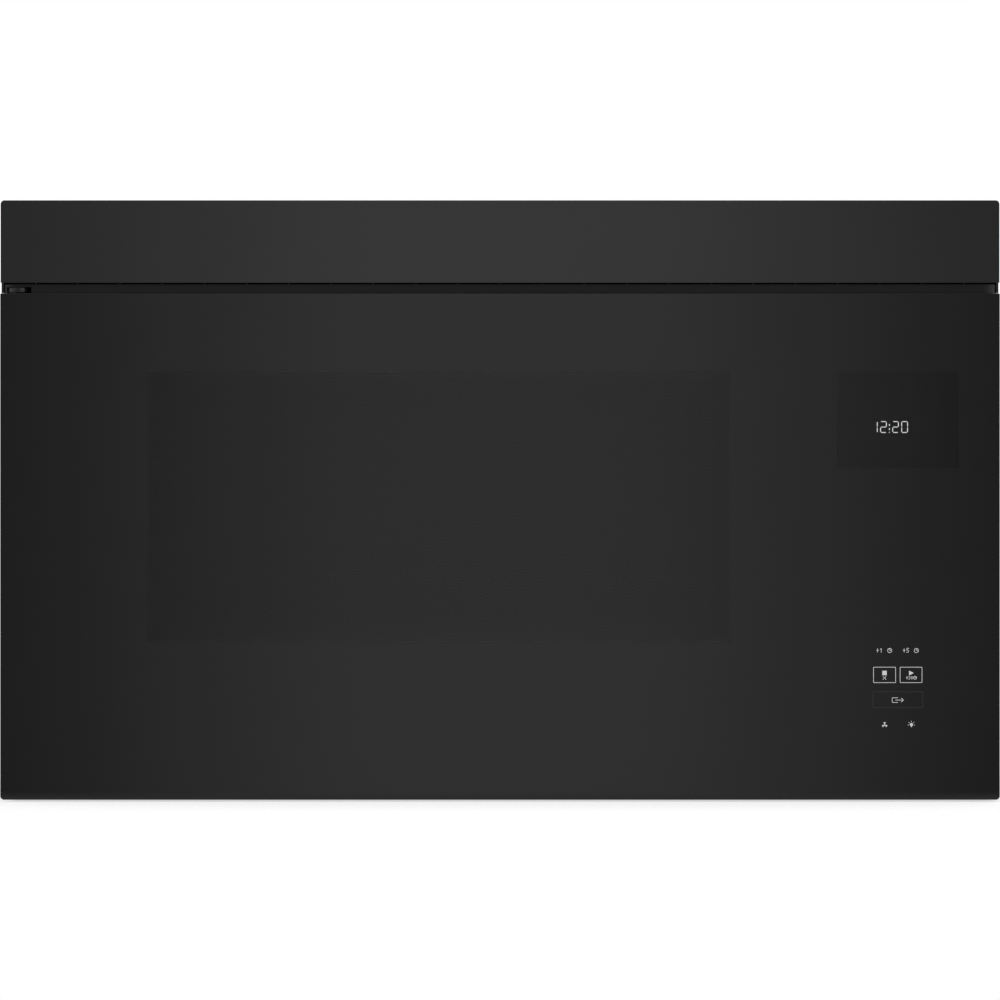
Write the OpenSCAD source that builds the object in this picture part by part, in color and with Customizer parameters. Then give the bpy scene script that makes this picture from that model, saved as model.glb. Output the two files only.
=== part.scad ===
// Flush-front microwave oven with a vent hood below it, hung on a wall between kitchen cabinets.
// X runs to the right, Y to the wall, Z up. The origin is under the middle of the whole object.
// All sizes are in millimetres.

/* [Door] */
// Width of the door glass, the widest piece
door_w = 760; // [740:1:800]
// Height of the door glass
door_h = 385; // [380:1:400]
// Depth of the closed door, from the glass front to the back of the inner trim
door_d = 36; // [34:0.5:44]
// Height of the door's lower edge above the underside
door_lift = 1; // [0.5:0.5:2]
// Thickness of the door glass
glass_t = 4; // [3:0.5:5]
// Corner radius of the door glass
glass_r = 3; // [1:0.5:6]
// Radius of the door glass's top corners
glass_top_r = 1; // [0.5:0.5:3]
// Width of the chamfer along the door's rear side edges
door_chamfer = 13; // [12:0.5:15]
// Wall of the door frame
frame_wall = 2.5; // [2:0.25:3.5]
// Thickness of the door's inner trim
trim_t = 3; // [2:0.5:4]
// How far the window stands in from each side of the cavity
window_in_x = 43.7; // [34:0.1:70]
// How far the window stands in from the top and bottom of the cavity
window_in_z = 13.5; // [12:0.1:30]
// Gap between the closed door and the front plate
seal_gap = 1.5; // [1.2:0.1:2.5]

/* [Hinge and latch] */
// Distance of the hinge axis from the door's left edge
hinge_in = 12.5; // [11:0.5:13]
// Distance of the hinge axis from the glass front
hinge_back = 12; // [12:0.5:14]
// Radius of the hinge pins
pin_r = 3; // [2:0.25:3.5]
// Length of the hinge pins
pin_l = 14; // [10:1:18]
// Thickness of the hinge brackets
bracket_t = 4; // [2:0.5:4]
// Distance from the lower latch hook to the upper one
hook_pitch = 120; // [90:1:124]
// Length of the hooks behind the closed door
hook_l = 28; // [24:1:32]
// Travel of the strike slider
strike_travel = 5; // [4:0.5:6]

/* [Body] */
// How far the body stands in from each side of the door
body_inset = 2; // [1:0.5:4]
// Depth of the body, from the front plate to the rear panel
body_d = 326.5; // [320:0.5:360]
// Thickness of the case, base and liner sheet
sheet = 1; // [0.8:0.1:1.5]
// Thickness of the front plate
plate_t = 1.2; // [1:0.1:2]
// Bend radius along the top edges of the case
case_r = 4; // [2:0.5:8]
// Depth of the wall plate tray
wall_plate_d = 8; // [6:0.5:12]
// Width of the wall plate
wall_plate_w = 640; // [560:5:700]
// Height of the wall plate
wall_plate_h = 295; // [280:5:320]
// Spacing of the wall bolts from side to side
wall_bolt_x = 406.4; // [380:0.1:420]
// Spacing of the wall bolts in height
wall_bolt_z = 255; // [250:5:260]
// Spacing of the two bolts that hang the body from the cabinet above
top_bolt_x = 610; // [560:1:620]

/* [Cavity] */
// Width of the space between the body's left side and the cavity
cavity_left = 65.6; // [60:0.1:80]
// Height of the space above the cavity for the blower
blower_space = 114.8; // [113.8:0.1:125]
// Depth of the cooking cavity
cavity_d = 262; // [240:1:266]
// Height of the cavity floor above the underside
cavity_floor_z = 108; // [104:0.5:112]
// Thickness of the ceramic floor
ceramic_t = 5; // [4:0.5:6]
// Radius of the stirrer well under the ceramic floor
well_r = 95; // [80:1:100]
// Depth of the stirrer well
well_d = 13; // [12:0.5:16]

/* [Vent] */
// Height of the gap between the door and the vent panel
vent_gap = 8.2; // [8:0.1:11]
// Height of the vent panel
vent_panel_h = 62.6; // [58:0.1:75]
// Thickness of the vent panel sheet
vent_panel_t = 1.8; // [1.7:0.1:2.4]
// How far the vent panel's front stands behind the glass front
vent_setback = 1; // [0.5:0.5:3]
// How far the vent panel's sides stand out beyond the body
vent_overhang = 1.75; // [1.5:0.05:2]
// Height of the air slot between the vent panel and the grille's lower bar
vent_slot = 1.1; // [0.8:0.1:2]
// Depth of the grille in front of the front plate
grille_d = 30; // [28:0.5:31]
// Radius of the grille's rounded ends
grille_end_r = 24; // [18:0.5:27]
// Width of the rounded stretch at each end of the grille
grille_end_w = 11.5; // [8:0.5:13]
// Wall of the grille
grille_t = 2; // [1.5:0.25:2.5]
// Number of fins in the grille
grille_fins = 23; // [15:2:31]
// Width of the exhaust duct opening
duct_w = 254; // [240:1:260]
// Depth of the exhaust duct opening
duct_d = 82.5; // [78:0.5:86]

/* [Hood] */
// Width of a grease filter
filter_w = 250; // [200:1:270]
// Depth of a grease filter
filter_d = 150; // [120:1:160]
// Thickness of a grease filter
filter_t = 8; // [6:0.5:10]
// Width of a task lamp lens
lens_w = 84; // [70:1:90]
// Depth of a task lamp lens
lens_d = 40; // [34:1:44]
// Height of the plenum under its cover
plenum_h = 38; // [34:0.5:40]
// Radius of a blower wheel
wheel_r = 41; // [36:0.5:43]
// Length of a blower wheel
wheel_l = 64; // [56:1:68]
// Number of blades in a blower wheel
wheel_blades = 28; // [20:2:32]

/* [Machinery] */
// Width of the machine space on the right of the cavity
machine_w = 158.4; // [158:0.1:175]
// Radius of the cooling fan blades
fan_r = 54; // [46:0.5:56]
// Number of cooling fan blades
fan_blades = 5; // [4:1:7]
// Number of magnetron cooling fins
magnetron_fins = 6; // [4:1:8]
// Radius of the mains cord bushing's bore
cord_r = 4.5; // [3.5:0.25:5.5]

/* [Hidden] */
$fn = 48;

// Clearances
run_gap = 0.05;
seat_gap = 0.3;
slide_gap = 1;
cut = 1;

// Planes from front to back
y_glass = -(door_d + seal_gap + body_d + wall_plate_d) / 2;
y_frame = y_glass + glass_t;
y_trim = y_glass + door_d;
y_panel_back = y_trim - trim_t;
y_plate = y_trim + seal_gap;
y_in = y_plate + plate_t;
y_back = y_plate + body_d;
y_rear_in = y_back - sheet;
y_wall = y_back + wall_plate_d;

// Planes from bottom to top
door_top = door_lift + door_h;
vent_panel_z = door_top + vent_gap;
body_h = vent_panel_z + vent_panel_h;
roof_in = body_h - sheet;
plenum_top = plenum_h + sheet;

// Widths
half_w = door_w / 2 - body_inset;
half_in = half_w - sheet;
frame_inset = 1;
half_frame = door_w / 2 - frame_inset;

// Cavity
cav_x0 = -half_in + cavity_left;
cav_x1 = half_in - machine_w;
cavity_w = cav_x1 - cav_x0;
cav_x = (cav_x0 + cav_x1) / 2;
liner_top = roof_in - blower_space;
cav_z0 = cavity_floor_z;
cav_z1 = liner_top - sheet;
cavity_h = cav_z1 - cav_z0;
window_w = cavity_w - 2 * window_in_x;
window_h = cavity_h - 2 * window_in_z;
cav_zm = (cav_z0 + cav_z1) / 2;
cav_y1 = y_in + cavity_d;
cav_ym = (y_in + cav_y1) / 2;
liner_corner_r = 15;
liner_x1 = cav_x1 + sheet;
liner_floor = cav_z0 - ceramic_t;
well_bottom = liner_floor - well_d;

// Waveguide and magnetron
guide_top = well_bottom - sheet;
motor_h = 18;
guide_bottom = plenum_top + motor_h;
guide_half_d = 45;
guide_x0 = cav_x - 60;
feed_r = 25;
mag_half_w = 46;
mag_half_d = 38;
mag_x = liner_x1 + 10 + mag_half_w;
guide_x1 = mag_x + mag_half_w;
mag_yoke_h = 76;
mag_wall = 2;

// Door hinge
hinge_x = -door_w / 2 + hinge_in;
hinge_y = y_glass + hinge_back;
bush_r = pin_r + 2;
boss_wall = 2;
bush_l = pin_l + 4;
bracket_half = 7.5;
bracket_left = 6;
bracket_end = y_in + 2.5;
upper_bracket_z = door_top + 0.8;
lower_bracket_z = door_lift + 1;
lower_relief_z = lower_bracket_z + bracket_t + 1.2;
relief_x = hinge_x + bracket_half + 3;

// Latch
choke_margin = 28;
choke_flange = 6;
latch_x = cav_x1 + choke_margin + 14;
hook_t = 4;
hook_h = 8;
nose_h = strike_travel;
nose_l = 6;
hook_end = y_trim + hook_l;
slider_t = 4;
ledge_h = 8;
ledge_gap = 0.6;
slider_y0 = hook_end - nose_l - seat_gap - 8;
slider_y1 = hook_end - nose_l - seat_gap;
latch_wall_x = latch_x + 14;
hook_zs = [cav_zm - hook_pitch / 2, cav_zm + hook_pitch / 2];
latch_z0 = hook_zs[0] - 32;
latch_z1 = hook_zs[1] + 46;
solenoid_r = 4;
solenoid_h = 34;

// Vent panel and grille
door_clear = 0.5;
vent_half = half_w + vent_overhang;
vent_y = y_glass + vent_setback;
vent_bottom = door_top + door_clear;
vent_inlet_z = vent_panel_z + 6.5;
grille_y = y_plate - grille_d;
vent_cheek_y = grille_y + 2;
grille_lip_top = vent_panel_z - vent_slot;
grille_bar_z = body_h - vent_panel_t - 9;
grille_half = vent_half - vent_panel_t - seat_gap;
grille_pad_w = 18;
grille_fin_t = 1.6;
notch_w = 3.1;
charcoal_d = 13;
vent_windows = 4;
vent_window_pitch = (2 * half_in - 94) / vent_windows;
vent_window_w = vent_window_pitch - 15;
vent_screw_xs = [-0.8 * half_in, 0, 0.8 * half_in];
screw_head_r = 3.8;
screw_r = 1.5;

// Exhaust blower and damper
duct_y = cav_y1 - 6;
damper_drop = 15;
damper_bottom = roof_in - damper_drop;
damper_wall = 1.5;
damper_rim = 10;
scroll_clear = 6;
scroll_r = wheel_r + scroll_clear + sheet;
blower_base_t = 1.5;
blower_z = liner_top + blower_base_t + scroll_r;
scroll_l = wheel_l + 14;
blower_motor_l = 74;
scroll_x = blower_motor_l / 2 + 6;
shaft_r = 4;
inlet_r = wheel_r - 10;
flap_t = 1;
flap_z = roof_in - 8;
flap_pin_r = 1.5;
flap_pin_y = duct_y + duct_d / 2 - 3;
flap_clear = 1;

// Hood floor
filter_x = half_in / 2;
filter_y = 22;
filter_z0 = 1.2;
filter_seat_z = filter_z0 + filter_t + seat_gap;
filter_lip = 3;
lamp_y = y_in + 44;
lens_flange_t = 1.5;
lamp_h = 13;

// Machine space on the right
machine_x = (liner_x1 + half_in) / 2;
case_flange = 18;
fan_box = 2 * fan_r + 14;
fan_depth = 38;
fan_x = half_in - case_flange - 2 - fan_box / 2;
fan_z = cav_zm - 8;
fan_y0 = y_rear_in - fan_depth;
fan_motor_l = 26;
fan_spoke_t = 4;
core_w = 96;
core_d = 56;
core_h = 80;
core_x = machine_x + 6;
core_y = fan_y0 - 32;
leg_w = 28;
yoke_w = 14;
cap_l = 96;
cap_w = 52;
cap_h = 34;
cap_x = machine_x;
cap_y = y_in + 50;
standoff = 8;
board_t = 1.6;
board_x0 = latch_wall_x + 12;
board_x1 = half_in - 4;
board_z0 = cav_zm - 74;
board_z1 = cav_zm + 106;

// Controls behind the glass
display_x = door_w / 2 - 78;
display_z = door_top - 96.2;
display_w = 92;
display_h = 73;
display_d = 9;
keys_x = display_x;
keys_z = 92;
keys_w = 60;
keys_h = 96;
control_x0 = display_x - display_w / 2 - 5;
control_x1 = display_x + display_w / 2 + 5;
control_z0 = keys_z - keys_h / 2 - 10;
control_z1 = display_z + display_h / 2 + 10;
control_d = 12.5;

// Mount places
top_bolt_r = 3.2;
top_bolt_y = y_in + 40;
nut_h = 8;
wall_bolt_r = 3.5;
wall_plate_z0 = 80;
wall_bolt_zm = wall_plate_z0 + wall_plate_h / 2;
cord_x = half_in - 47;
cord_y = y_rear_in - 30;
bushing_l = 10;
bushing_r = cord_r + 4;

// Solid between two corners
module box(x0, x1, y0, y1, z0, z1) {
    translate([x0, y0, z0]) cube([x1 - x0, y1 - y0, z1 - z0]);
}

// Outline drawn in X and Z, pushed from y0 back to y1
module push_y(y0, y1) {
    translate([0, y1, 0]) rotate([90, 0, 0]) linear_extrude(y1 - y0) children();
}

// Outline drawn in X and Y, raised from z0 to z1
module raise(z0, z1) {
    translate([0, 0, z0]) linear_extrude(z1 - z0) children();
}

// Rectangle with rounded corners
module round_rect(x0, x1, y0, y1, r) {
    translate([x0 + r, y0]) square([x1 - x0 - 2 * r, y1 - y0]);
    translate([x0, y0 + r]) square([x1 - x0, y1 - y0 - 2 * r]);
    for (x = [x0 + r, x1 - r], y = [y0 + r, y1 - r]) translate([x, y]) circle(r);
}

// Solid on the right for s = 1, mirrored to the left for s = -1
module side_box(s, x0, x1, y0, y1, z0, z1) {
    box(min(s * x0, s * x1), max(s * x0, s * x1), y0, y1, z0, z1);
}

module rod_x(x0, x1, y, z, r) {
    translate([x0, y, z]) rotate([0, 90, 0]) cylinder(r = r, h = x1 - x0);
}

module rod_y(x, y0, y1, z, r) {
    translate([x, y0, z]) rotate([-90, 0, 0]) cylinder(r = r, h = y1 - y0);
}

module rod_z(x, y, z0, z1, r) {
    translate([x, y, z0]) cylinder(r = r, h = z1 - z0);
}

// Rectangular ring in X and Z between an outer and an inner half size
module ring_y(xm, zm, w, h, wall, r, y0, y1) {
    push_y(y0, y1) difference() {
        round_rect(xm - w / 2, xm + w / 2, zm - h / 2, zm + h / 2, r);
        round_rect(xm - w / 2 + wall, xm + w / 2 - wall, zm - h / 2 + wall, zm + h / 2 - wall, r / 2);
    }
}

// Cross-section of the case: a rectangle with rounded upper corners
module case_outline(half, top, r) {
    translate([-half, 0]) square([2 * half, top - r]);
    translate([-half + r, 0]) square([2 * (half - r), top]);
    for (s = [-1, 1]) translate([s * (half - r), top - r]) circle(r);
}

// Plan of the cavity, with rounded rear corners, grown by d
module cavity_outline(d, front) {
    r = liner_corner_r + d;
    x0 = cav_x0 - d;
    x1 = cav_x1 + d;
    y1 = cav_y1 + d;
    translate([x0, front]) square([x1 - x0, y1 - r - front]);
    translate([x0 + r, front]) square([x1 - x0 - 2 * r, y1 - front]);
    for (x = [x0 + r, x1 - r]) translate([x, y1 - r]) circle(r);
}

// Body shell

plate_return = 14;

module outer_case() {
    color("#1c1c1e") difference() {
        union() {
            push_y(y_in, y_back) difference() {
                case_outline(half_w, body_h, case_r);
                translate([0, -cut]) case_outline(half_in, roof_in + cut, max(case_r - sheet, 0.5));
            }
            for (s = [-1, 1]) side_box(s, half_in - case_flange, half_w - sheet / 2, y_rear_in - sheet,
                y_rear_in, 20, roof_in - 20);
        }
        case_top_cuts();
        for (p = rear_screws()) rod_y(p[0], y_rear_in - 2 * sheet, y_rear_in + cut, p[1], screw_r);
        for (s = [-1, 1], p = case_side_screws())
            rod_x(s * half_w - 2 * sheet, s * half_w + 2 * sheet, p[0], p[1], screw_r);
    }
}

module case_top_cuts() {
    z0 = roof_in - cut;
    z1 = body_h + cut;
    reach = damper_wall + 0.25;
    box(-duct_w / 2 - reach, duct_w / 2 + reach, duct_y - duct_d / 2 - reach, duct_y + duct_d / 2 + reach,
        z0, z1);
    for (s = [-1, 1]) rod_z(s * top_bolt_x / 2, top_bolt_y, z0, z1, top_bolt_r + 0.8);
    rod_z(cord_x, cord_y, z0, z1, bushing_r + run_gap);
    for (i = [0:8]) box(machine_x - 38, machine_x + 38, i * 9 - 36, i * 9 - 32.5, z0, z1);
}

function case_side_screws() = [[y_in + 20, 8], [cav_ym, 8], [y_rear_in - 20, 8], [y_in + 7, board_z0 - 50],
    [y_in + 7, board_z1 + 16]];

module base_plate() {
    flange_h = 16;
    color("#242426") difference() {
        union() {
            box(-half_in, half_in, y_in, y_back, 0, sheet);
            for (s = [-1, 1]) side_box(s, half_in - sheet, half_in, y_in, y_rear_in, 0, flange_h);
            for (s = [-1, 1]) filter_collar(s * filter_x);
            for (x = [-half_in + 37, -20, 20, half_in - 37])
                box(x - 2, x + 2, y_in + 25, y_rear_in - 30, 0, sheet + 1.5);
        }
        for (s = [-1, 1]) {
            lens_opening(s * filter_x);
            filter_opening(s * filter_x);
            for (p = case_side_screws())
                rod_x(s * half_in - 2 * sheet, s * half_in + 2 * sheet, p[0], p[1], screw_r);
        }
        for (i = [0:9]) box(-120 + i * 26, -104 + i * 26, y_rear_in - 22, y_rear_in - 18, -cut, sheet + cut);
    }
}

// Rim that a grease filter rises into, with a lip that stops it
module filter_collar(x) {
    w = filter_w / 2 + slide_gap + sheet;
    d = filter_d / 2 + slide_gap + sheet;
    box(x - w, x + w, filter_y - d, filter_y + d, 0, filter_seat_z + sheet);
}

module filter_opening(x) {
    w = filter_w / 2 + slide_gap;
    d = filter_d / 2 + slide_gap;
    box(x - w, x + w, filter_y - d, filter_y + d, -cut, filter_seat_z);
    box(x - w + filter_lip + slide_gap, x + w - filter_lip - slide_gap, filter_y - d + filter_lip + slide_gap,
        filter_y + d - filter_lip - slide_gap, -cut, filter_seat_z + sheet + cut);
}

module lens_opening(x) {
    box(x - lens_w / 2 + 3, x + lens_w / 2 - 3, lamp_y - lens_d / 2 + 3, lamp_y + lens_d / 2 - 3, -cut,
        sheet + cut);
}

module front_plate() {
    color("#3a3a3c") difference() {
        union() {
            push_y(y_plate, y_in) case_outline(half_w, body_h, case_r);
            for (s = [-1, 1]) side_box(s, half_in - sheet, half_in, y_in - plate_t / 2, y_in + plate_return,
                plenum_top + 1, roof_in - 16);
            box(-half_in + 16, half_in - 16, y_in - plate_t / 2, y_in + plate_return,
                roof_in - sheet, roof_in);
        }
        for (s = [-1, 1], p = case_side_screws())
            rod_x(s * half_in - 2 * sheet, s * half_in + 2 * sheet, p[0], p[1], screw_r);
        push_y(y_plate - cut, y_in + cut) {
            round_rect(cav_x0, cav_x1, cav_z0, cav_z1, 6);
            for (i = [0:vent_windows - 1]) {
                x = (i - (vent_windows - 1) / 2) * vent_window_pitch;
                w = vent_window_w / 2;
                round_rect(x - w, x + w, vent_inlet_z + 3, grille_bar_z - 3, 4);
            }
            for (z = hook_zs) hook_slot(z, 2);
        }
        for (z = [lower_bracket_z, upper_bracket_z])
            box(hinge_x - bracket_left - 0.2, hinge_x + bracket_half + 0.2, y_plate - cut, y_in + cut,
                z - run_gap, z + bracket_t + run_gap);
    }
}

// Outline that lets one door hook through, at height z, with a margin
module hook_slot(z, margin) {
    translate([latch_x - hook_t / 2 - margin, z - nose_h - margin])
        square([hook_t + 2 * margin, hook_h + nose_h + 2 * margin]);
}

module rear_panel() {
    color("#8d9092") difference() {
        box(-half_in, half_in, y_rear_in, y_back, sheet, roof_in);
        for (s = [-1, 1]) wall_tab_slot(s);
        for (p = rear_screws()) rod_y(p[0], y_rear_in - cut, y_back + cut, p[1], screw_r);
        for (s = [-1, 1]) corner_relief(s, y_rear_in - cut, y_back + cut);
    }
}

// Clears the inside of the case's rounded upper corner
module corner_relief(s, y0, y1) {
    r = 1.2 * case_r;
    x = s * half_in;
    translate([x, 0, roof_in]) rotate([0, 45, 0]) translate([-r / 2, y0, -r / 2]) cube([r, y1 - y0, r]);
}

function rear_screws() = [for (s = [-1, 1], z = [plenum_top + 21, cav_zm, roof_in - 45])
    [s * (half_in - case_flange / 2), z]];

tab_x = 120;
tab_w = 30;
tab_z = wall_plate_z0 + 16;
tab_t = 1.5;
tab_lip = 8;
module wall_tab_slot(s) {
    box(s * tab_x - tab_w / 2 - 2, s * tab_x + tab_w / 2 + 2, y_rear_in - cut, y_back + cut,
        tab_z + tab_t - tab_lip - 3, tab_z + tab_t);
}

module wall_plate() {
    half = wall_plate_w / 2;
    z0 = wall_plate_z0;
    z1 = z0 + wall_plate_h;
    t = tab_t;
    color("#9a9d9f") difference() {
        union() {
            box(-half, half, y_wall - t, y_wall, z0, z1);
            for (s = [-1, 1]) side_box(s, half - t, half, y_back, y_wall, z0, z1);
            box(-half, half, y_back, y_wall, z1 - t, z1);
            for (s = [-1, 1]) {
                box(s * tab_x - tab_w / 2, s * tab_x + tab_w / 2, y_rear_in - 4, y_wall, tab_z, tab_z + t);
                box(s * tab_x - tab_w / 2, s * tab_x + tab_w / 2, y_rear_in - 4, y_rear_in - 4 + t, tab_z,
                    tab_z + tab_lip);
            }
        }
        for (sx = [-1, 1], sz = [-1, 1])
            rod_y(sx * wall_bolt_x / 2, y_wall - t - cut, y_wall + cut, wall_bolt_zm + sz * wall_bolt_z / 2,
                wall_bolt_r);
    }
}

// Cooking cavity

module cavity_liner() {
    color("#9b9ea0") difference() {
        union() {
            raise(liner_floor - sheet, liner_top) cavity_outline(sheet, y_in);
            rod_z(cav_x, cav_ym, guide_top, liner_floor, well_r + sheet);
        }
        raise(liner_floor, cav_z1) cavity_outline(0, y_in - cut);
        rod_z(cav_x, cav_ym, well_bottom, liner_floor + cut, well_r);
        rod_z(cav_x, cav_ym, guide_top - cut, liner_floor, feed_r);
        for (i = [0:4], j = [0:2]) {
            rod_x(cav_x1 - cut, liner_x1 + cut, cav_ym - 80 + i * 9, cav_z1 - 26 - j * 9, 2);
            rod_x(cav_x0 - sheet - cut, cav_x0 + cut, cav_ym + 30 + i * 9, cav_z1 - 26 - j * 9, 2);
        }
    }
}

module ceramic_floor() {
    color("#c9c7c0") raise(liner_floor, cav_z0) cavity_outline(-0.5, y_in + 0.5);
}

module cavity_lamp() {
    y = cav_ym - 62;
    z = cav_z1 - 35;
    color("#e7e4da") difference() {
        box(liner_x1, liner_x1 + 22, y - 24, y + 24, z - 16, z + 16);
        box(liner_x1 - cut, liner_x1 + 19, y - 21, y + 21, z - 13, z + 13);
    }
    color("#f4e9b0") rod_x(liner_x1 + 10, liner_x1 + 19, y, z, 7);
}

module waveguide() {
    color("#a7a9ab") difference() {
        box(guide_x0, guide_x1, cav_ym - guide_half_d, cav_ym + guide_half_d, guide_bottom, guide_top);
        box(guide_x0 + sheet, guide_x1 - sheet, cav_ym - guide_half_d + sheet, cav_ym + guide_half_d - sheet,
            guide_bottom + sheet, guide_top - sheet);
        rod_z(cav_x, cav_ym, guide_top - 2 * sheet, guide_top + cut, feed_r);
        rod_z(cav_x, cav_ym, guide_bottom - cut, guide_bottom + 2 * sheet, shaft_r + 1);
        rod_z(mag_x, cav_ym, guide_top - 2 * sheet, guide_top + cut, 16);
    }
}

module stirrer_motor() {
    color("#bfc1c3") difference() {
        union() {
            rod_z(cav_x, cav_ym, plenum_top, guide_bottom, 25);
            box(cav_x - 36, cav_x + 36, cav_ym - 7, cav_ym + 7, guide_bottom - 2, guide_bottom);
        }
        rod_z(cav_x, cav_ym, guide_bottom - 12, guide_bottom + cut, shaft_r - 1 + run_gap);
    }
}

module stirrer() {
    r = shaft_r - 1;
    vane_z = well_bottom + 4;
    color("#b9bbbd") {
        difference() {
            union() {
                rod_z(cav_x, cav_ym, guide_bottom - 12 + seat_gap, vane_z + 4, r);
                rod_z(cav_x, cav_ym, vane_z - 2, vane_z + 4, 9);
                for (a = [0:120:240]) translate([cav_x, cav_ym, vane_z]) rotate([0, 0, a]) {
                    translate([6, -13, 0]) cube([well_r - 20, 26, 1]);
                    translate([6, 12, 0]) cube([well_r - 20, 1, 4]);
                }
            }
            for (a = [0:120:240]) translate([cav_x, cav_ym, 0]) rotate([0, 0, a + 8])
                rod_z(well_r / 2, 0, vane_z - cut, vane_z + 2, 5);
        }
    }
}

// Microwave source and supply

module magnetron() {
    z0 = guide_top;
    z1 = z0 + mag_yoke_h;
    zm = (z0 + z1) / 2;
    fin_gap = 32 / magnetron_fins;
    color("#b4b6b8") {
        for (z = [z0, z1 - mag_wall])
            box(mag_x - mag_half_w, mag_x + mag_half_w, cav_ym - mag_half_d, cav_ym + mag_half_d, z,
                z + mag_wall);
        for (s = [-1, 1])
            box(min(mag_x + s * mag_half_w, mag_x + s * (mag_half_w - mag_wall)),
                max(mag_x + s * mag_half_w, mag_x + s * (mag_half_w - mag_wall)),
                cav_ym - mag_half_d, cav_ym + mag_half_d, z0, z1);
        rod_z(mag_x, cav_ym, z0 - 14, z1, 8);
        rod_z(mag_x, cav_ym, z0 + mag_wall, z1 - mag_wall, 19);
        for (i = [0:magnetron_fins - 1])
            box(mag_x - mag_half_w + mag_wall, mag_x + mag_half_w - mag_wall, cav_ym - 27, cav_ym + 27,
                zm - 16 + (i + 0.3) * fin_gap, zm - 16 + (i + 0.3) * fin_gap + 0.8);
    }
    color("#4a4b4e") for (z = [z0 + mag_wall, z1 - mag_wall - 13]) rod_z(mag_x, cav_ym, z, z + 13, 27);
    color("#c2c4c6") difference() {
        box(mag_x - 28, mag_x + 28, cav_ym - 26, cav_ym + 26, z1, z1 + 26);
        for (s = [-1, 1]) rod_x(mag_x + 24, mag_x + 29, cav_ym + s * 10, z1 + 13, 4);
    }
}

module transformer_core() {
    z = plenum_top + 2;
    x0 = core_x - core_w / 2;
    window_w_in = (core_w - leg_w - 2 * yoke_w) / 2;
    color("#5b5d60") difference() {
        union() {
            box(x0, x0 + core_w, core_y - core_d / 2, core_y + core_d / 2, z, z + core_h);
            box(x0 - 9, x0 + core_w + 9, core_y - core_d / 2, core_y + core_d / 2, plenum_top, z);
        }
        for (x = [x0 + yoke_w, x0 + yoke_w + window_w_in + leg_w])
            box(x, x + window_w_in, core_y - core_d / 2 - cut, core_y + core_d / 2 + cut, z + yoke_w,
                z + core_h - yoke_w);
    }
}

module transformer_windings() {
    z = plenum_top + 2 + yoke_w;
    window_h_in = core_h - 2 * yoke_w;
    gap = 4;
    h = (window_h_in - gap) / 2;
    reach = (core_w - leg_w - 2 * yoke_w) / 2;
    for (i = [0, 1]) color(i == 0 ? "#a4552c" : "#c9a36a") difference() {
        raise(z + i * (h + gap), z + i * (h + gap) + h)
            round_rect(core_x - leg_w / 2 - reach, core_x + leg_w / 2 + reach, core_y - core_d / 2 - 14,
                core_y + core_d / 2 + 14, 10);
        box(core_x - leg_w / 2, core_x + leg_w / 2, core_y - core_d / 2, core_y + core_d / 2,
            z + i * (h + gap) - cut, z + i * (h + gap) + h + cut);
    }
}

module capacitor() {
    x0 = cap_x - cap_l / 2;
    color("#c6c8ca") translate([x0, 0, 0]) rotate([90, 0, 90]) linear_extrude(cap_l)
        round_rect(cap_y - cap_w / 2, cap_y + cap_w / 2, plenum_top, plenum_top + cap_h, 15);
    color("#3c3c3e") for (s = [-1, 1])
        rod_x(x0 + cap_l, x0 + cap_l + 9, cap_y + s * 11, plenum_top + cap_h / 2, 4);
    color("#8f9193") difference() {
        box(cap_x - 8, cap_x + 8, cap_y - cap_w / 2 - 12, cap_y + cap_w / 2 + 12, plenum_top,
            plenum_top + cap_h + 1.5);
        translate([cap_x - 9, 0, 0]) rotate([90, 0, 90]) linear_extrude(18)
            round_rect(cap_y - cap_w / 2, cap_y + cap_w / 2, plenum_top, plenum_top + cap_h, 15);
        for (s = [-1, 1])
            box(cap_x - 9, cap_x + 9, cap_y + s * (cap_w / 2 + 7.5) - 6, cap_y + s * (cap_w / 2 + 7.5) + 6,
                plenum_top + 1.5, plenum_top + cap_h + 2);
    }
}

module noise_filter_board() {
    x0 = machine_x - 40;
    x1 = machine_x + 40;
    y = y_rear_in - standoff - board_t;
    z0 = fan_z + fan_box / 2 + 30;
    z1 = z0 + 70;
    color("#2e5b3a") box(x0, x1, y, y + board_t, z0, z1);
    color("#b8babc") for (x = [x0 + 5, x1 - 5], z = [z0 + 5, z1 - 5]) rod_y(x, y + board_t, y_rear_in, z, 3);
    color("#c7a24a") rod_y(x0 + 22, y - 16, y, z0 + 25, 13);
    color("#3a5fa0") for (i = [0, 1]) box(x0 + 44 + i * 16, x0 + 56 + i * 16, y - 14, y, z0 + 14, z0 + 40);
    color("#d8d8d2") rod_x(x0 + 16, x0 + 48, y - 4, z0 + 56, 4.4);
}

module power_board() {
    y = y_in + standoff;
    color("#2e5b3a") box(board_x0, board_x1, y, y + board_t, board_z0, board_z1);
    color("#b8babc") for (x = [board_x0 + 5, board_x1 - 5], z = [board_z0 + 5, board_z1 - 5])
        rod_y(x, y_in, y, z, 3);
    color("#26272a") for (i = [0:3])
        box(board_x0 + 12, board_x0 + 30, y + board_t, y + board_t + 15, board_z0 + 20 + i * 24,
            board_z0 + 38 + i * 24);
    color("#3d3f44") for (i = [0:2])
        rod_y(board_x0 + 48, y + board_t, y + board_t + 18, board_z0 + 24 + i * 20, 7);
    color("#d6b23c") box(board_x0 + 38, board_x0 + 62, y + board_t, y + board_t + 20, board_z0 + 96,
        board_z0 + 128);
    color("#e2e2de") box(board_x0 + 12, board_x0 + 62, y + board_t, y + board_t + 9, board_z1 - 18,
        board_z1 - 8);
}

// Cooling air

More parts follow.
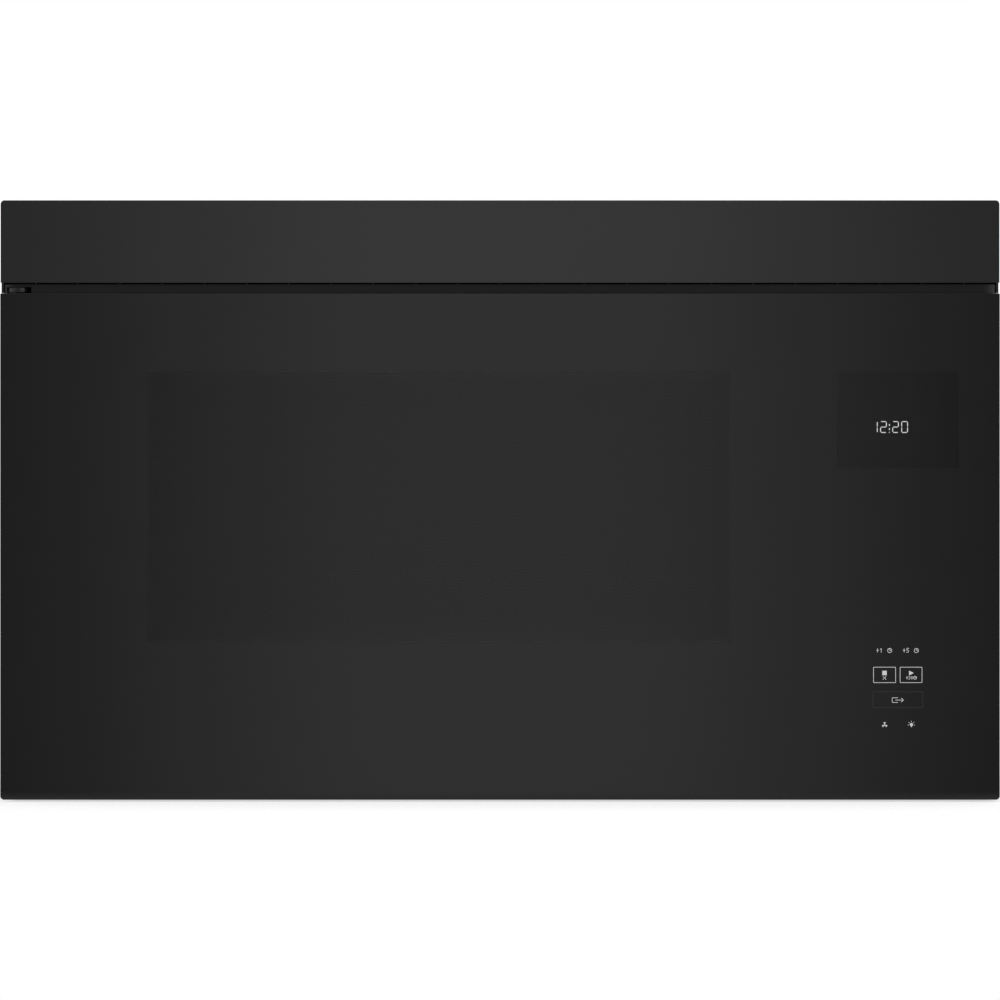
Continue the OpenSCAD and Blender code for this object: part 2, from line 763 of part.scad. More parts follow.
module fan_shroud() {
    x0 = fan_x - fan_box / 2;
    z0 = fan_z - fan_box / 2;
    color("#d9d9d4") difference() {
        box(x0, x0 + fan_box, fan_y0, y_rear_in, z0, z0 + fan_box);
        rod_y(fan_x, fan_y0 + fan_spoke_t, y_rear_in + cut, fan_z, fan_r + 3);
        difference() {
            rod_y(fan_x, fan_y0 - cut, fan_y0 + fan_spoke_t + cut, fan_z, fan_r + 3);
            rod_y(fan_x, fan_y0 - 2 * cut, fan_y0 + fan_spoke_t + 2 * cut, fan_z, 28);
            for (a = [45, 135]) translate([fan_x, fan_y0, fan_z]) rotate([0, a, 0])
                translate([-fan_r - 10, -2 * cut, -4]) cube([2 * fan_r + 20, fan_spoke_t + 4 * cut, 8]);
        }
        rod_y(fan_x, fan_y0 - cut, fan_y0 + fan_spoke_t + cut, fan_z, 12);
        box(x0 - cut, fan_x, y_rear_in - 9, y_rear_in + cut, z0 + 8, z0 + fan_box - 8);
    }
}

module fan_motor() {
    color("#77797c") difference() {
        rod_y(fan_x, fan_y0 - fan_motor_l, fan_y0, fan_z, 26);
        rod_y(fan_x, fan_y0 - fan_motor_l + 6, fan_y0 + cut, fan_z, shaft_r - 1 + run_gap);
    }
}

module cooling_fan() {
    y0 = fan_y0 + fan_spoke_t + 3;
    hub_l = 22;
    color("#3f4144") {
        rod_y(fan_x, fan_y0 - fan_motor_l + 6 + seat_gap, y0 + hub_l, fan_z, shaft_r - 1);
        rod_y(fan_x, y0, y0 + hub_l, fan_z, 15);
        intersection() {
            rod_y(fan_x, y0, y0 + hub_l, fan_z, fan_r);
            for (i = [0:fan_blades - 1])
                translate([fan_x, y0 + hub_l / 2, fan_z]) rotate([0, i * 360 / fan_blades, 0])
                rotate([35, 0, 0]) translate([12, -0.8, -17]) cube([fan_r, 1.6, 34]);
        }
    }
}

module air_guide() {
    x1 = fan_x + fan_box / 2;
    z1 = fan_z + fan_box / 2;
    color("#8f9193") {
        box(liner_x1, x1, cav_ym + mag_half_d + 4, fan_y0, z1 - sheet, z1);
        box(x1 - sheet, x1, cav_ym + mag_half_d + 4, fan_y0, z1 - 90, z1);
    }
}

// Exhaust blower

module scroll(x0) {
    x1 = x0 + scroll_l;
    d = duct_d / 2;
    difference() {
        union() {
            rod_x(x0, x1, duct_y, blower_z, scroll_r);
            box(x0, x1, duct_y - d, duct_y + d, blower_z, damper_bottom);
        }
        rod_x(x0 + sheet, x1 - sheet, duct_y, blower_z, scroll_r - sheet);
        box(x0 + sheet, x1 - sheet, duct_y - d + sheet, duct_y + d - sheet, blower_z, damper_bottom + cut);
        rod_x(x0 - cut, x1 + cut, duct_y, blower_z, inlet_r);
    }
}

module blower_housing() {
    color("#9c9ea1") {
        difference() {
            union() {
                scroll(scroll_x);
                scroll(-scroll_x - scroll_l);
                box(-scroll_x - scroll_l, scroll_x + scroll_l, duct_y - 26, duct_y + 26, liner_top,
                    liner_top + 4);
            }
            for (x = [scroll_x, -scroll_x - scroll_l])
                rod_x(x + sheet, x + scroll_l - sheet, duct_y, blower_z, scroll_r - sheet);
        }
    }
}

module blower_motor() {
    half = blower_motor_l / 2;
    color("#6c6e72") difference() {
        union() {
            rod_x(-half, half, duct_y, blower_z, 34);
            box(-half + 8, half - 8, duct_y - 22, duct_y + 22, liner_top + 4, blower_z);
        }
        rod_x(-half - cut, half + cut, duct_y, blower_z, shaft_r + run_gap);
    }
}

module wheel(x0, disc_x) {
    x1 = x0 + wheel_l;
    rod_x(disc_x, disc_x + 1.5, duct_y, blower_z, wheel_r);
    rod_x(disc_x > x0 + 1 ? disc_x - 14 : disc_x, disc_x > x0 + 1 ? disc_x + 1.5 : disc_x + 15.5, duct_y,
        blower_z, 10);
    for (x = [x0, x1 - 2]) difference() {
        rod_x(x, x + 2, duct_y, blower_z, wheel_r);
        rod_x(x - cut, x + 2 + cut, duct_y, blower_z, wheel_r - 3);
    }
    for (i = [0:wheel_blades - 1]) translate([0, duct_y, blower_z]) rotate([i * 360 / wheel_blades, 0, 0])
        translate([x0, -0.5, wheel_r - 9]) cube([wheel_l, 1, 8]);
}

module blower_wheels() {
    inner = scroll_x + (scroll_l - wheel_l) / 2;
    color("#55575b") {
        rod_x(-inner - wheel_l, inner + wheel_l, duct_y, blower_z, shaft_r);
        wheel(inner, inner);
        wheel(-inner - wheel_l, -inner - 1.5);
    }
}

module damper_frame() {
    w = duct_w / 2;
    d = duct_d / 2;
    color("#b1b3b5") difference() {
        union() {
            box(-w - damper_wall, w + damper_wall, duct_y - d - damper_wall, duct_y + d + damper_wall,
                damper_bottom, body_h);
            box(-w - damper_rim, w + damper_rim, duct_y - d - damper_rim, duct_y + d + damper_rim,
                roof_in - 1.5, roof_in);
        }
        difference() {
            box(-w, w, duct_y - d, duct_y + d, damper_bottom - cut, body_h + cut);
            for (s = [-1, 1])
                box(min(s * w, s * (w - 2)), max(s * w, s * (w - 2)), duct_y - d, duct_y + d - 8,
                    flap_z - seat_gap - 2, flap_z - seat_gap);
            box(-w, w, duct_y - d, duct_y - d + 2, flap_z - seat_gap - 2, flap_z - seat_gap);
        }
        rod_x(-w - damper_wall - cut, w + damper_wall + cut, flap_pin_y, flap_z + flap_t / 2,
            flap_pin_r + run_gap);
    }
}

module damper_flap() {
    w = duct_w / 2;
    d = duct_d / 2;
    zc = flap_z + flap_t / 2;
    color("#c3c5c7") {
        box(-w + flap_clear, w - flap_clear, duct_y - d + flap_clear, flap_pin_y, flap_z, flap_z + flap_t);
        rod_x(-w - damper_wall, w + damper_wall, flap_pin_y, zc, flap_pin_r);
    }
}

module charcoal_filter() {
    z0 = vent_inlet_z - 2;
    z1 = grille_bar_z + 2;
    color("#2b2b2d") difference() {
        box(-half_in / 2, half_in / 2, y_in, y_in + charcoal_d, z0, z1);
        for (i = [-5:5], j = [0:2])
            rod_y(i * half_in / 11.5, y_in + charcoal_d - 3, y_in + charcoal_d + cut,
                z0 + 10 + j * (z1 - z0 - 20) / 2, 5);
    }
}

// Front of the vent

// Plan of the grille out to half its width, with rounded ends, taken in by d
module grille_outline(half, d) {
    x = half - grille_end_w;
    centre_y = grille_y + grille_end_r;
    intersection() {
        translate([-half + d, grille_y]) square([2 * (half - d), grille_d]);
        union() {
            translate([-x, grille_y + d]) square([2 * x, grille_d]);
            for (s = [-1, 1]) translate([s * x, centre_y]) circle(grille_end_r - d);
            translate([-half, centre_y]) square([2 * half, grille_d]);
        }
    }
}

module grille_channel(half) {
    difference() {
        grille_outline(half, 0);
        grille_outline(half, grille_t);
    }
}

module vent_grille() {
    top = body_h - vent_panel_t;
    bar_half = grille_half - grille_t;
    fin_x = bar_half - grille_pad_w - 4;
    pitch = 2 * fin_x / (grille_fins - 1);
    color("#1f1f21") difference() {
        union() {
            raise(vent_bottom, grille_lip_top) grille_channel(grille_half);
            raise(grille_bar_z, top) grille_channel(bar_half);
            for (i = [0:grille_fins - 1])
                box(-fin_x + i * pitch - grille_fin_t / 2, -fin_x + i * pitch + grille_fin_t / 2,
                    grille_y + grille_t / 2, y_plate, grille_lip_top - 4, grille_bar_z + 4);
            for (s = [-1, 1])
                side_box(s, bar_half - grille_pad_w, grille_half - grille_t / 2, y_plate - 5.5, y_plate,
                    grille_lip_top - 2, grille_bar_z + 4);
            for (x = vent_screw_xs) box(x - 5, x + 5, grille_y, y_plate, grille_bar_z, top);
        }
        box(hinge_x - bracket_half - 2 * seat_gap, hinge_x + bracket_half + notch_w, grille_y - cut,
            y_plate + cut, door_top, upper_bracket_z + bracket_t + seat_gap);
        for (x = vent_screw_xs) rod_z(x, y_plate - 5, top - 8, top + cut, screw_r);
    }
}

module vent_panel() {
    t = vent_panel_t;
    z0 = vent_panel_z;
    color("#29292b") difference() {
        union() {
            push_y(vent_y, y_plate) vent_outline(0, glass_r);
            for (s = [-1, 1])
                side_box(s, vent_half - t, vent_half, vent_cheek_y, y_plate, vent_bottom, z0 + t);
        }
        push_y(vent_y + t, y_plate + cut) vent_outline(t, max(glass_r - t, 0.5));
        box(-vent_half + t, vent_half - t, vent_y + t, y_plate + cut, z0 - cut, z0 + t + cut);
        for (x = vent_screw_xs) translate([x, y_plate - 5, body_h - t - 0.01])
            cylinder(r1 = screw_r + 0.3, r2 = screw_head_r + 0.3, h = t + 0.02);
    }
}

// Front view of the vent panel, taken in by d
module vent_outline(d, r) {
    z0 = vent_panel_z + d;
    z1 = body_h - d;
    half = vent_half - d;
    translate([-half, z0]) square([2 * half, z1 - z0 - r]);
    translate([-half + r, z0]) square([2 * (half - r), z1 - z0]);
    for (s = [-1, 1]) translate([s * (half - r), z1 - r]) circle(r);
}

module vent_panel_screws() {
    color("#303032") for (x = vent_screw_xs) difference() {
        union() {
            translate([x, y_plate - 5, body_h - vent_panel_t])
                cylinder(r1 = screw_r, r2 = screw_head_r, h = vent_panel_t);
            rod_z(x, y_plate - 5, body_h - vent_panel_t - 7, body_h - vent_panel_t, screw_r - run_gap);
        }
        for (a = [0, 90]) translate([x, y_plate - 5, body_h - 0.6]) rotate([0, 0, a])
            translate([-2, -0.4, 0]) cube([4, 0.8, 2]);
    }
}

// Hood floor

module plenum_cover() {
    color("#8f9193") difference() {
        union() {
            box(-half_in, half_in, y_in, cav_y1, plenum_h, plenum_top);
            box(-half_in, half_in, cav_y1 - sheet, cav_y1, plenum_h - 10, plenum_top);
        }
        for (i = [0:8]) box(core_x + 58, core_x + 62, y_in + 20 + i * 9, y_in + 25 + i * 9, plenum_h - cut,
            plenum_top + cut);
    }
    color("#8f9193") box(liner_x1, half_in, cav_y1, y_rear_in - 2 * sheet, plenum_h, plenum_top);
}

module task_lamps() {
    z = sheet + lens_flange_t;
    for (s = [-1, 1]) {
        x = s * filter_x;
        color("#d0d0cc") difference() {
            box(x - lens_w / 2, x + lens_w / 2, lamp_y - lens_d / 2, lamp_y + lens_d / 2, z, z + lamp_h);
            box(x - lens_w / 2 + 2, x + lens_w / 2 - 2, lamp_y - lens_d / 2 + 2, lamp_y + lens_d / 2 - 2,
                z - cut, z + lamp_h - 2);
        }
        color("#f2e6a8") for (i = [-1:1]) rod_z(x + i * 22, lamp_y, z + lamp_h - 5, z + lamp_h - 2, 4);
    }
}

module task_lamp_lenses() {
    for (s = [-1, 1]) {
        x = s * filter_x;
        color("#e9eceb") {
            box(x - lens_w / 2, x + lens_w / 2, lamp_y - lens_d / 2, lamp_y + lens_d / 2, sheet,
                sheet + lens_flange_t);
            box(x - lens_w / 2 + 3.4, x + lens_w / 2 - 3.4, lamp_y - lens_d / 2 + 3.4,
                lamp_y + lens_d / 2 - 3.4, seat_gap, sheet + lens_flange_t);
        }
    }
}

module grease_filter(x) {
    z1 = filter_z0 + filter_t;
    w = filter_w / 2;
    d = filter_d / 2;
    color("#a9acae") {
        difference() {
            raise(filter_z0, z1) round_rect(x - w, x + w, filter_y - d, filter_y + d, 4);
            raise(filter_z0 - cut, z1 + cut) round_rect(x - w + 7, x + w - 7, filter_y - d + 7,
                filter_y + d - 7, 3);
        }
        box(x - w + 5, x + w - 5, filter_y - d + 5, filter_y + d - 5, filter_z0 + 1.5, z1 - 1.5);
        for (i = [-1:1]) box(x + i * w / 2 - 1.5, x + i * w / 2 + 1.5, filter_y - d + 4, filter_y + d - 4,
            filter_z0 + 0.6, z1 - 0.6);
    }
    color("#3b3b3d") box(x - 12, x + 12, filter_y - d + 9, filter_y - d + 19, filter_z0 - 0.6,
        filter_z0 + 1.6);
}

// Latch behind the front plate

module latch_board() {
    color("#e6e4dc") difference() {
        union() {
            box(latch_x - 12, latch_wall_x + 3, y_in, y_in + 3, latch_z0, latch_z1);
            box(latch_wall_x, latch_wall_x + 3, y_in, hook_end + 22, latch_z0, latch_z1 + solenoid_h + 8);
            for (z = [latch_z0, latch_z1 - 3])
                box(latch_x - 12, latch_wall_x + 3, y_in, slider_y0 - 2, z, z + 3);
        }
        push_y(y_in - cut, y_in + 3 + cut) for (z = hook_zs) hook_slot(z, 2.5);
    }
}

// Bar beside the hooks that lifts a ledge in front of each hook's nose
module strike_slider() {
    x1 = latch_wall_x - seat_gap;
    x0 = x1 - slider_t;
    z0 = latch_z0 + 5;
    z1 = latch_z1 - 10;
    color("#6f7276") {
        box(x0, x1, slider_y0, slider_y1, z0, z1);
        for (z = hook_zs)
            box(latch_x - hook_t / 2 - 1, x1, slider_y0, slider_y1, z - nose_h - ledge_gap - ledge_h,
                z - nose_h - ledge_gap);
        box(x0 - 6, x1, slider_y0, slider_y1, z1 - 4, z1);
        rod_z(x0 - 2, (slider_y0 + slider_y1) / 2, z1 - 4, latch_z1 + 22, solenoid_r);
    }
}

module latch_solenoid() {
    x = latch_wall_x - seat_gap - slider_t - 2;
    y = (slider_y0 + slider_y1) / 2;
    z0 = latch_z1 + 6;
    color("#93601f") difference() {
        box(x - 14, latch_wall_x, y - 12, y + 12, z0, z0 + solenoid_h);
        rod_z(x, y, z0 - cut, z0 + solenoid_h + cut, solenoid_r + run_gap);
    }
}

switch_w = 28;
switch_d = 16;
switch_h = 9.8;
switch_pitch = switch_h + 0.4;
plunger_out = 2.5;
switch_mid = (hook_h - nose_h) / 2;
switch_zs = [hook_zs[0] + switch_mid - switch_pitch / 2, hook_zs[1] + switch_mid - switch_pitch / 2,
    hook_zs[1] + switch_mid + switch_pitch / 2];

module interlock_switches() {
    y0 = hook_end + seat_gap + plunger_out;
    for (z = switch_zs) {
        color("#1d1e20") difference() {
            box(latch_wall_x - switch_w, latch_wall_x, y0, y0 + switch_d, z - switch_h / 2, z + switch_h / 2);
            plunger_shape(z, run_gap);
        }
        color("#cfa93f") for (i = [0:2])
            box(latch_wall_x - switch_w + 4 + i * 9, latch_wall_x - switch_w + 8 + i * 9, y0 + switch_d,
                y0 + switch_d + 6, z - 0.4, z + 0.4);
    }
}

module plunger_shape(z, grow) {
    y0 = hook_end + seat_gap;
    box(latch_x - 1.5 - grow, latch_x + 1.5 + grow, y0, y0 + plunger_out + 5, z - 1.3 - grow, z + 1.3 + grow);
}

module switch_plunger(i) {
    color("#b5281e") intersection() {
        plunger_shape(switch_zs[i], 0);
        box(latch_x - 3, latch_x + 3, hook_end, hook_end + seat_gap + plunger_out + 4, cav_z0, cav_z1);
    }
}

// Hinge

module hinge_bracket(z, pin_up) {
    box(hinge_x - bracket_left, hinge_x + bracket_half, hinge_y, bracket_end, z, z + bracket_t);
    rod_z(hinge_x, hinge_y, z, z + bracket_t, bracket_half);
    box(hinge_x - bracket_left, hinge_x + bracket_half + 8, y_in, bracket_end, z, z + 30);
    if (pin_up) rod_z(hinge_x, hinge_y, z, z + bracket_t + pin_l, pin_r);
    else rod_z(hinge_x, hinge_y, z - pin_l, z + bracket_t, pin_r);
}

module upper_hinge_bracket() {
    color("#2a2a2c") hinge_bracket(upper_bracket_z, false);
}

module lower_hinge_bracket() {
    color("#2a2a2c") hinge_bracket(lower_bracket_z, true);
}

module hinge_bushes() {
    color("#d8d6cf") for (z = [lower_relief_z, door_top - frame_inset - bush_l]) difference() {
        rod_z(hinge_x, hinge_y, z, z + bush_l, bush_r - run_gap);
        rod_z(hinge_x, hinge_y, z - cut, z + bush_l + cut, pin_r + run_gap);
    }
}

// Fasteners and small fittings

module case_screws() {
    color("#4c4e51") {
        for (s = [-1, 1], p = case_side_screws()) {
            rod_x(s > 0 ? half_w : -half_w - 1.6, s > 0 ? half_w + 1.6 : -half_w, p[0], p[1], screw_head_r);
            rod_x(s > 0 ? half_w - 8 : -half_w, s > 0 ? half_w : -half_w + 8, p[0], p[1], screw_r - run_gap);
        }
        for (p = rear_screws()) {
            rod_y(p[0], y_back, y_back + 1.8, p[1], screw_head_r);
            rod_y(p[0], y_back - 7, y_back, p[1], screw_r - run_gap);
        }
    }
}

module cord_bushing() {
    color("#19191a") difference() {
        union() {
            rod_z(cord_x, cord_y, body_h - bushing_l, body_h, bushing_r);
            rod_z(cord_x, cord_y, roof_in - 2, roof_in, bushing_r + 4);
        }
        rod_z(cord_x, cord_y, body_h - bushing_l - cut, body_h + cut, cord_r);
    }
}

module thermal_cutouts() {
    places = [[cav_x1 - 60, cav_ym - 40, liner_top], [mag_x, cav_ym + 8, guide_top + mag_yoke_h + 26]];
    for (p = places) {
        color("#c7c9cb") rod_z(p[0], p[1], p[2], p[2] + 5, 8);
        color("#222222") rod_z(p[0], p[1], p[2] + 5, p[2] + 9, 7);
        color("#c7c9cb") for (s = [-1, 1])
            box(p[0] + s * 4 - 0.4, p[0] + s * 4 + 0.4, p[1] - 3, p[1] + 3, p[2] + 9, p[2] + 16);
    }
}

module mount_nuts() {
    color("#a9acae") for (s = [-1, 1]) difference() {
        union() {
            translate([s * top_bolt_x / 2, top_bolt_y, roof_in - nut_h]) cylinder(r = 8, h = nut_h, $fn = 6);
            rod_z(s * top_bolt_x / 2, top_bolt_y, roof_in - 1.5, roof_in, 11);
        }
        rod_z(s * top_bolt_x / 2, top_bolt_y, roof_in - nut_h - cut, roof_in + cut, top_bolt_r);
    }
}

// Door

// Front view of the door glass, with its two radii
module glass_outline() {
    half = door_w / 2;
    middle = (door_lift + door_top) / 2;
    translate([-half, door_lift + glass_r]) square([door_w, door_top - glass_top_r - door_lift - glass_r]);
    translate([-half + glass_r, door_lift]) square([door_w - 2 * glass_r, middle - door_lift]);
    translate([-half + glass_top_r, middle]) square([door_w - 2 * glass_top_r, door_top - middle]);
    for (s = [-1, 1]) {
        translate([s * (half - glass_r), door_lift + glass_r]) circle(glass_r);
        translate([s * (half - glass_top_r), door_top - glass_top_r]) circle(glass_top_r);
    }
}

module door_glass() {
    color("#141416") push_y(y_glass, y_frame) glass_outline();
}

// Plan of the door frame, taken in by d, with its rear corners cut off
module frame_plan(d, y0, y1) {
    c = door_chamfer;
    w = half_frame - d;
    chamfer_y = y_panel_back - c - d * (sqrt(2) - 1);
    chamfer_x = half_frame - c - d * sqrt(2) - (y1 - y_panel_back);
    polygon([[-w, y0], [w, y0], [w, chamfer_y], [chamfer_x, y1], [-chamfer_x, y1], [-w, chamfer_y]]);
}

screw_in = 14;
screw_out_x = half_frame - door_chamfer - 26;
function door_screw_points() = [for (x = [-screw_out_x, cav_x, screw_out_x],
    z = [door_lift + screw_in, door_top - screw_in]) [x, z]];

module door_frame() {
    z0 = door_lift + frame_inset;
    z1 = door_top - frame_inset;
    color("#1b1b1d") difference() {
        union() {
            difference() {
                raise(z0, z1) frame_plan(0, y_frame, y_panel_back);
                raise(z0 + frame_wall, z1 - frame_wall) frame_plan(frame_wall, y_frame + 2,
                    y_panel_back + cut);
                box(-half_frame + 16, half_frame - 16, y_frame - cut, y_frame + 2 + cut, z0 + 16, z1 - 16);
            }
            for (z = [lower_relief_z, z1 - bush_l])
                box(-half_frame + 1, hinge_x + bush_r + boss_wall, y_frame + 1, hinge_y + bush_r + boss_wall,
                    z, z + bush_l);
            intersection() {
                raise(lower_relief_z, lower_relief_z + frame_wall) frame_plan(0, y_frame, y_panel_back);
                box(-half_frame, relief_x + frame_wall, y_frame, y_panel_back, z0, door_top);
            }
            box(relief_x, relief_x + frame_wall, y_frame, y_panel_back, z0, lower_relief_z + 1);
            for (p = door_screw_points()) rod_y(p[0], y_frame + 1, y_panel_back, p[1], 4);
        }
        for (z = [lower_relief_z, z1 - bush_l]) rod_z(hinge_x, hinge_y, z - cut, z + bush_l + cut, bush_r);
        box(-half_frame - cut, relief_x, y_frame - cut, y_panel_back + cut, z0 - cut, lower_relief_z);
        for (p = door_screw_points()) rod_y(p[0], y_frame + 6, y_panel_back + cut, p[1], screw_r);
    }
}

module door_inner_trim() {
    half = half_frame - door_chamfer;
    z0 = door_lift + frame_inset;
    z1 = door_top - frame_inset;
    w = cavity_w + 2 * choke_margin;
    h = cavity_h + 2 * choke_margin;
    color("#202022") difference() {
        box(-half, half, y_panel_back, y_trim, z0, z1);
        push_y(y_panel_back - cut, y_trim + cut) round_rect(cav_x - w / 2, cav_x + w / 2, cav_zm - h / 2,
            cav_zm + h / 2, 8);
        push_y(y_panel_back - cut, y_trim + cut) for (z = hook_zs) hook_slot(z, 0.5);
        box(-half - cut, relief_x, y_panel_back - cut, y_trim + cut, z0 - cut, lower_relief_z);
        for (p = door_screw_points()) {
            rod_y(p[0], y_trim - 1.2, y_trim + cut, p[1], screw_head_r + 0.2);
            rod_y(p[0], y_panel_back - cut, y_trim, p[1], screw_r + 0.3);
        }
    }
}

// Steel screen with the two walls of the choke channel around it
module choke_panel() {
    w = cavity_w + 2 * choke_margin - 2;
    h = cavity_h + 2 * choke_margin - 2;
    screen_y = y_panel_back - 16;
    inner_w = cavity_w - 20;
    inner_h = cavity_h - 16;
    color("#3b3d40") {
        push_y(screen_y, screen_y + sheet) round_rect(cav_x - w / 2, cav_x + w / 2, cav_zm - h / 2,
            cav_zm + h / 2, 7);
        ring_y(cav_x, cav_zm, w, h, sheet, 7, screen_y, y_panel_back);
        for (s = [-1, 1])
            box(cav_x + min(s * (w / 2 - sheet / 2), s * (w / 2 + choke_flange)),
                cav_x + max(s * (w / 2 - sheet / 2), s * (w / 2 + choke_flange)),
                y_panel_back - sheet, y_panel_back, cav_zm - h / 2 + 8, cav_zm + h / 2 - 8);
        ring_y(cav_x, cav_zm, inner_w, inner_h, sheet, 5, screen_y, y_panel_back);
    }
}

module window_outline(r) {
    round_rect(cav_x - window_w / 2, cav_x + window_w / 2, cav_zm - window_h / 2, cav_zm + window_h / 2, r);
}

module choke_cover() {
    w = cavity_w + 2 * choke_margin - 1;
    h = cavity_h + 2 * choke_margin - 1;
    color("#2a2b2d") push_y(y_panel_back, y_trim - 0.5) difference() {
        round_rect(cav_x - w / 2, cav_x + w / 2, cav_zm - h / 2, cav_zm + h / 2, 7.5);
        window_outline(4);
    }
}

module inner_window() {
    w = cavity_w - 20 - 2 * sheet - 1;
    h = cavity_h - 16 - 2 * sheet - 1;
    color("#5c6063") push_y(y_panel_back - 2, y_panel_back)
        round_rect(cav_x - w / 2, cav_x + w / 2, cav_zm - h / 2, cav_zm + h / 2, 3);
}

module display_module() {
    x0 = display_x - display_w / 2;
    z0 = display_z - display_h / 2;
    color("#0e0e10") box(x0, x0 + display_w, y_frame, y_frame + display_d, z0, z0 + display_h);
}

module touch_board() {
    x0 = keys_x - keys_w / 2;
    z0 = keys_z - keys_h / 2;
    color("#234a30") box(x0, x0 + keys_w, y_frame, y_frame + board_t, z0, z0 + keys_h);
    color("#2b2c2e") for (i = [0, 1], j = [0:2])
        box(x0 + 12 + i * 24, x0 + 24 + i * 24, y_frame + board_t, y_frame + board_t + 2.5, z0 + 14 + j * 26,
            z0 + 26 + j * 26);
}

module control_cover() {
    color("#232426") difference() {
        box(control_x0, control_x1, y_frame, y_frame + control_d, control_z0, control_z1);
        box(control_x0 + 2, control_x1 - 2, y_frame - cut, y_frame + control_d - 1.5, control_z0 + 2,
            control_z1 - 2);
    }
}

module latch_hooks() {
    y0 = y_frame + control_d + 1.5;
    color("#a3a5a8") {
        box(latch_x - 6, latch_x + 6, y0, y_panel_back, latch_z0 + 8, latch_z1 - 8);
        for (z = hook_zs) {
            box(latch_x - hook_t / 2, latch_x + hook_t / 2, y0, hook_end, z, z + hook_h);
            box(latch_x - hook_t / 2, latch_x + hook_t / 2, hook_end - nose_l, hook_end, z - nose_h, z + 1);
        }
    }
}

module door_screws() {
    color("#55575a") for (p = door_screw_points()) difference() {
        union() {
            rod_y(p[0], y_trim - 1.2, y_trim, p[1], screw_head_r);
            rod_y(p[0], y_trim - 16, y_trim - 1.2, p[1], screw_r - run_gap);
        }
        for (a = [0, 90]) translate([p[0], y_trim - 0.6, p[1]]) rotate([0, a, 0])
            translate([-2, 0, -0.4]) cube([4, 2, 0.8]);
    }
}

outer_case();
base_plate();
front_plate();
rear_panel();
wall_plate();
cavity_liner();
ceramic_floor();
cavity_lamp();
waveguide();
stirrer_motor();
magnetron();
transformer_core();
transformer_windings();
capacitor();
noise_filter_board();
power_board();
fan_shroud();
fan_motor();
air_guide();
blower_housing();
blower_motor();
damper_frame();
charcoal_filter();
vent_grille();
vent_panel();
vent_panel_screws();
plenum_cover();
task_lamps();
task_lamp_lenses();
latch_board();
interlock_switches();
latch_solenoid();
upper_hinge_bracket();
lower_hinge_bracket();
case_screws();
cord_bushing();
thermal_cutouts();
mount_nuts();
door_glass();
door_frame();
door_inner_trim();
choke_panel();
choke_cover();
inner_window();
display_module();
touch_board();
control_cover();
latch_hooks();
hinge_bushes();
door_screws();
strike_slider();
stirrer();
cooling_fan();
blower_wheels();
damper_flap();
grease_filter(-filter_x);  // grease_filter_left
grease_filter(filter_x);  // grease_filter_right
switch_plunger(0);  // switch_plunger_lower
switch_plunger(1);  // switch_plunger_middle
switch_plunger(2);  // switch_plunger_upper
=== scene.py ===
import math

import bmesh
import bpy
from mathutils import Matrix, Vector


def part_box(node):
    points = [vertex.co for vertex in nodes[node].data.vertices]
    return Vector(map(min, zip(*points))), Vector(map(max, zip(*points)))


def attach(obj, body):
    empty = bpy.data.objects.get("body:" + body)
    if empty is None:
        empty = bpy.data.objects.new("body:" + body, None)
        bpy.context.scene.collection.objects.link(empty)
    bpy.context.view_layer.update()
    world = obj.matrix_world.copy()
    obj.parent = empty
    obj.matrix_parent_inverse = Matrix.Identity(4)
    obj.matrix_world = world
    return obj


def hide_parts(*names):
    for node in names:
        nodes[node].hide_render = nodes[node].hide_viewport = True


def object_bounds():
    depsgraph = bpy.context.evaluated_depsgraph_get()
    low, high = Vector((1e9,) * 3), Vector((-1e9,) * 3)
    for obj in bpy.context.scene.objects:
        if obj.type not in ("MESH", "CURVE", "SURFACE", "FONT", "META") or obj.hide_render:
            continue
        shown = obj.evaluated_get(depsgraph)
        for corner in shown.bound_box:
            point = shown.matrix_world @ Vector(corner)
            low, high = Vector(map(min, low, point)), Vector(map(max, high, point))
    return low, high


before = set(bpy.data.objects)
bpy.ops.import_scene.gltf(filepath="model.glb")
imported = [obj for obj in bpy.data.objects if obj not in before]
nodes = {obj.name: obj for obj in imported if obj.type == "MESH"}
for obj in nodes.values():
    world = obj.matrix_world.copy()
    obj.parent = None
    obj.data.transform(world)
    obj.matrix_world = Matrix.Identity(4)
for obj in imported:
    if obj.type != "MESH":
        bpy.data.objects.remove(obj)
cad_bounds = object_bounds()
MM = 0.001


# Camera and places in the photograph

# The camera stands straight before the front, at the height of the photograph's middle row
EYE_Y = -4.4095
EYE_Z = 0.22892
# One pixel of the photograph covers this much at the back of the door's glass, where its print lies
PIXEL = 0.76093 * MM
MIDDLE_PIXEL = 500


def px(col):
    return (col - MIDDLE_PIXEL) * PIXEL


def pz(row):
    return EYE_Z + (MIDDLE_PIXEL - row) * PIXEL


# Shader nodes

def feed(tree, socket, value):
    """Links an input to another node's output, or sets it to a number or a colour."""
    if isinstance(value, bpy.types.NodeSocket):
        tree.links.new(value, socket)
    elif isinstance(value, tuple):
        socket.default_value = (*value, 1)
    else:
        socket.default_value = value


def math_in(tree, operation, *values):
    """Output of a Math node."""
    n = tree.nodes.new("ShaderNodeMath")
    n.operation = operation
    for socket, value in zip(n.inputs, values):
        feed(tree, socket, value)
    return n.outputs[0]


def mix_in(tree, fac, a, b):
    """Output of a Mix node that goes from colour a to colour b."""
    n = tree.nodes.new("ShaderNodeMix")
    n.data_type = "RGBA"
    for i, value in zip((0, 6, 7), (fac, a, b)):
        feed(tree, n.inputs[i], value)
    return n.outputs[2]


